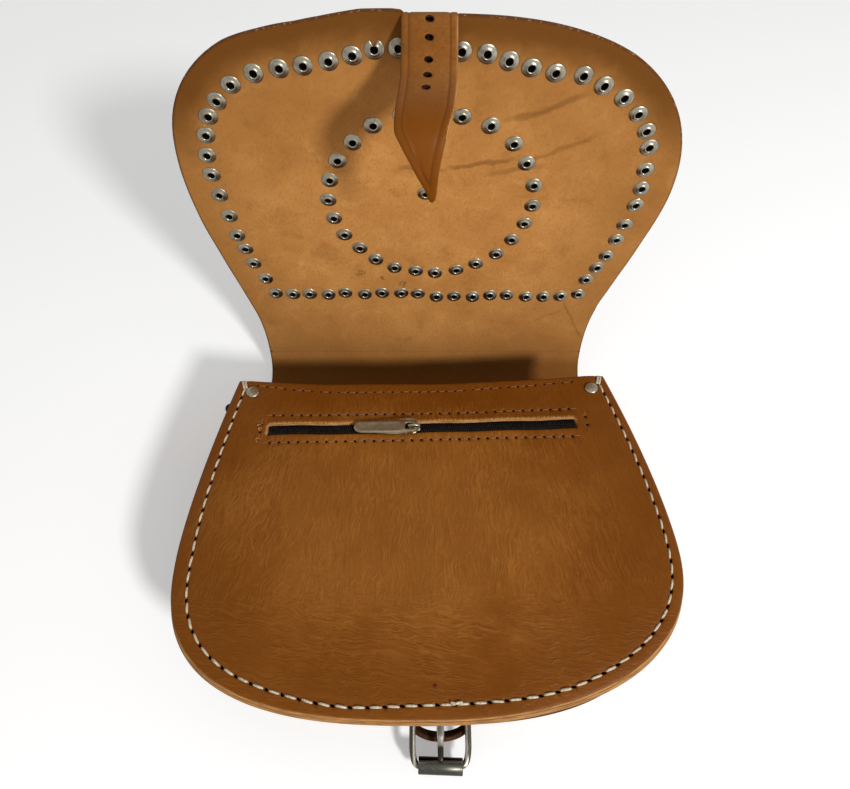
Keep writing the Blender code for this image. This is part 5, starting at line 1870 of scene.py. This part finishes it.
def makeBuckle():
    half, far, length = buckleForm["halfWidth"], buckleForm["farHalf"], buckleForm["length"]
    right = [
        (0, 0), (half - 2.4, 0), (half - 0.6, -0.6), (half, -2.4), (half, -9),
        (half, -buckleForm["straight"]), (half - 0.35, -20), (far + 0.5, -length + 2.6),
        (far - 0.4, -length + 0.7), (far - 2.2, -length), (0, -length),
    ]
    left = [(-x, y) for x, y in right[::-1]][1:-1]
    loop = softenLoop(chain([right + left + right[:1]], 0.9), 3)
    wire = onBuckle(np.column_stack([loop, np.zeros(len(loop))]))
    sideBar = np.abs(loop[:, 0]) > 9
    radius = np.where(sideBar, buckleForm["wire"], 1.5)
    batch = Batch()
    batch.add(*tubeOf(wire, radius, 14, True, up=(0, 0, 1)))
    settle(batch.build("buckle_frame_wire", (frameGlintAndPatina,)), "nickel", "frame", "buckle_frame")

    halfLength, outer = buckleForm["roller"]
    centre = onBuckle([(0, -length, 0)])[0]
    profile = [
        (2.05, -halfLength), (outer - 0.3, -halfLength), (outer, -halfLength + 0.3), (outer, 0),
        (outer, halfLength - 0.3), (outer - 0.3, halfLength), (2.05, halfLength), (2.0, halfLength - 0.5),
        (2.0, -halfLength + 0.5),
    ]

    def warp(radius, height, angle):
        atSeam = abs((angle - 2.4 + math.pi) % tau - math.pi) < 0.12 and radius > 2.3
        return radius - (0.28 if atSeam else 0), height

    batch = Batch()
    batch.add(*turnedOf(profile, centre, (1, -0.035, 0.01), 40, True, warp))
    settle(batch.build("buckle_roller_tube", (rollerGlintAndPatina,)), "nickel", "roller", "buckle_roller")

    batch = Batch()
    path = spaced(buckleForm["tongue"], 0.8)
    width = np.interp(-path[:, 0], *buckleForm["tongueHalf"])
    points = onBuckle(np.column_stack([np.zeros(len(path)), path]))
    batch.add(*tubeOf(points, width, 12, flat=0.52, up=(0, 0, 1)))
    batch.add(*turnedOf(buckleForm["tongueEye"], buckleForm["pin"], (1, 0, 0), 24, True))
    settle(batch.build("buckle_tongue_bar", (tongueGlintAndPatina,)), "nickel", "tongue", "buckle_tongue")


def makeBuckleTab():
    near, far = tabForm["layers"]
    inner = [(wallY(z) - near, z) for z in buckleForm["tabFrom"]]
    outer = [(wallY(z) - far, z) for z in buckleForm["tabFrom"]]
    radius, first, last = buckleForm["tabArc"]
    angles = np.linspace(math.radians(first), math.radians(last), 12)
    arc = np.array(buckleForm["pin"][1:]) + radius * np.column_stack([np.cos(angles), np.sin(angles)])
    leaving, returning = ((wallY(20) - away, z) for away, z in buckleForm["tabNeck"])
    path = [*inner, leaving, *arc, returning, *outer[::-1]]
    middle = lengthAlong(smoothCurve(path, 0.6, 4))[-1] / 2
    half = buckleForm["slotHalf"]
    low, high = (middle + run for run in buckleForm["slotRun"])
    slot = chain([[(half, low), (half, high), (-half, high), (-half, low), (half, low)]], 1.2)

    def toWorld(a, b, u):
        return np.column_stack([u + buckleForm["pin"][0], a, b])

    width, thickness = buckleForm["tabWidth"], tabForm["leather"]
    piece = bandPiece("buckle_tab_loop", path, width, thickness, toWorld, darkFinishes, [slot])
    settle(piece, "dark_leather", "bag", "buckle_tab")
    size, through = tabForm["rivetSize"], tabForm["rivetThrough"]
    for word, z in buckleForm["tabRivets"]:
        axis = unit(np.array([0, -55.0, -6.0]))
        base = np.array([buckleForm["pin"][0], wallY(z), z]) + axis * 3.5
        rivetPiece("buckle_tab_rivet_" + word + "_cap", "buckle_tab_rivet_" + word, base, axis, size, through)


keeperForm = {
    "arm": ((15.2, -73.4), (15.3, -80), (15.3, -86.5)),
    "bend": (15.25, 8.0, -87.3),  # half width, depth and where it starts
    "width": 4.8,
    "thickness": 2.9,
    "height": 8.3,
    "tilt": (-0.7, 0.72),  # the band's width lies along this, in y and z
}


def makeKeeper():
    arm = keeperForm["arm"]
    wide, deep, start = keeperForm["bend"]
    bend = [(wide * math.cos(a), start - deep * math.sin(a)) for a in np.linspace(0.15, math.pi - 0.15, 13)]
    path = [*arm, *bend, *((-x, y) for x, y in arm[::-1])]
    tiltY, tiltZ = keeperForm["tilt"]

    def toWorld(a, b, u):
        return np.column_stack([a + buckleForm["pin"][0], b + tiltY * u, keeperForm["height"] + tiltZ * u])

    width, thickness = keeperForm["width"], keeperForm["thickness"]
    piece = bandPiece("keeper_band", path, width, thickness, toWorld, darkFinishes, (), 0.8, 1.4)
    settle(piece, "dark_leather", "bag", "strap_keeper")


makeBuckle()
makeBuckleTab()
makeKeeper()
print("buckle made")


def makeFloor():
    far, low = 4, -0.0006  # metres, just under the pieces
    mesh = bpy.data.meshes.new("floor")
    corners = [(-far, -far, low), (far, -far, low), (far, far, low), (-far, far, low)]
    mesh.from_pydata(corners, [], [(0, 1, 2, 3)])
    f = Finish("floor_paint", 0.75, specular=0.1)
    glow = f.mix(f.add("LightPath", out="Is Camera Ray"), (0, 0, 0), (view["floorGlow"],) * 3)
    f.wear(Base_Color=view["floorColour"], Emission_Color=glow, Emission_Strength=1)
    mesh.materials.append(f.material)
    floor = bpy.data.objects.new("floor", mesh)
    scene.collection.objects.link(floor)


def makeWorld():
    # plain light on everything, and a pale backdrop for what the camera and the metal see
    world = bpy.data.worlds.new("studio")
    scene.world = world
    world.use_nodes = True
    nodes = Nodes(world.node_tree)
    ambient = nodes.add("Background", None, {"Color": (1, 1, 1), "Strength": view["ambient"]})
    backdrop = nodes.add("Background", None, {"Color": view["backdrop"], "Strength": 1})
    seen = 0
    for kind in ("Is Camera Ray", "Is Glossy Ray", "Is Transmission Ray"):
        seen = nodes.add("Math", {"operation": "MAXIMUM"}, [nodes.add("LightPath", out=kind), seen])
    shown = nodes.add("MixShader", None, [seen, ambient, backdrop])
    nodes.feed(nodes.tree.nodes["World Output"].inputs["Surface"], shown)


makeFloor()
makeWorld()
print("floor and world made")
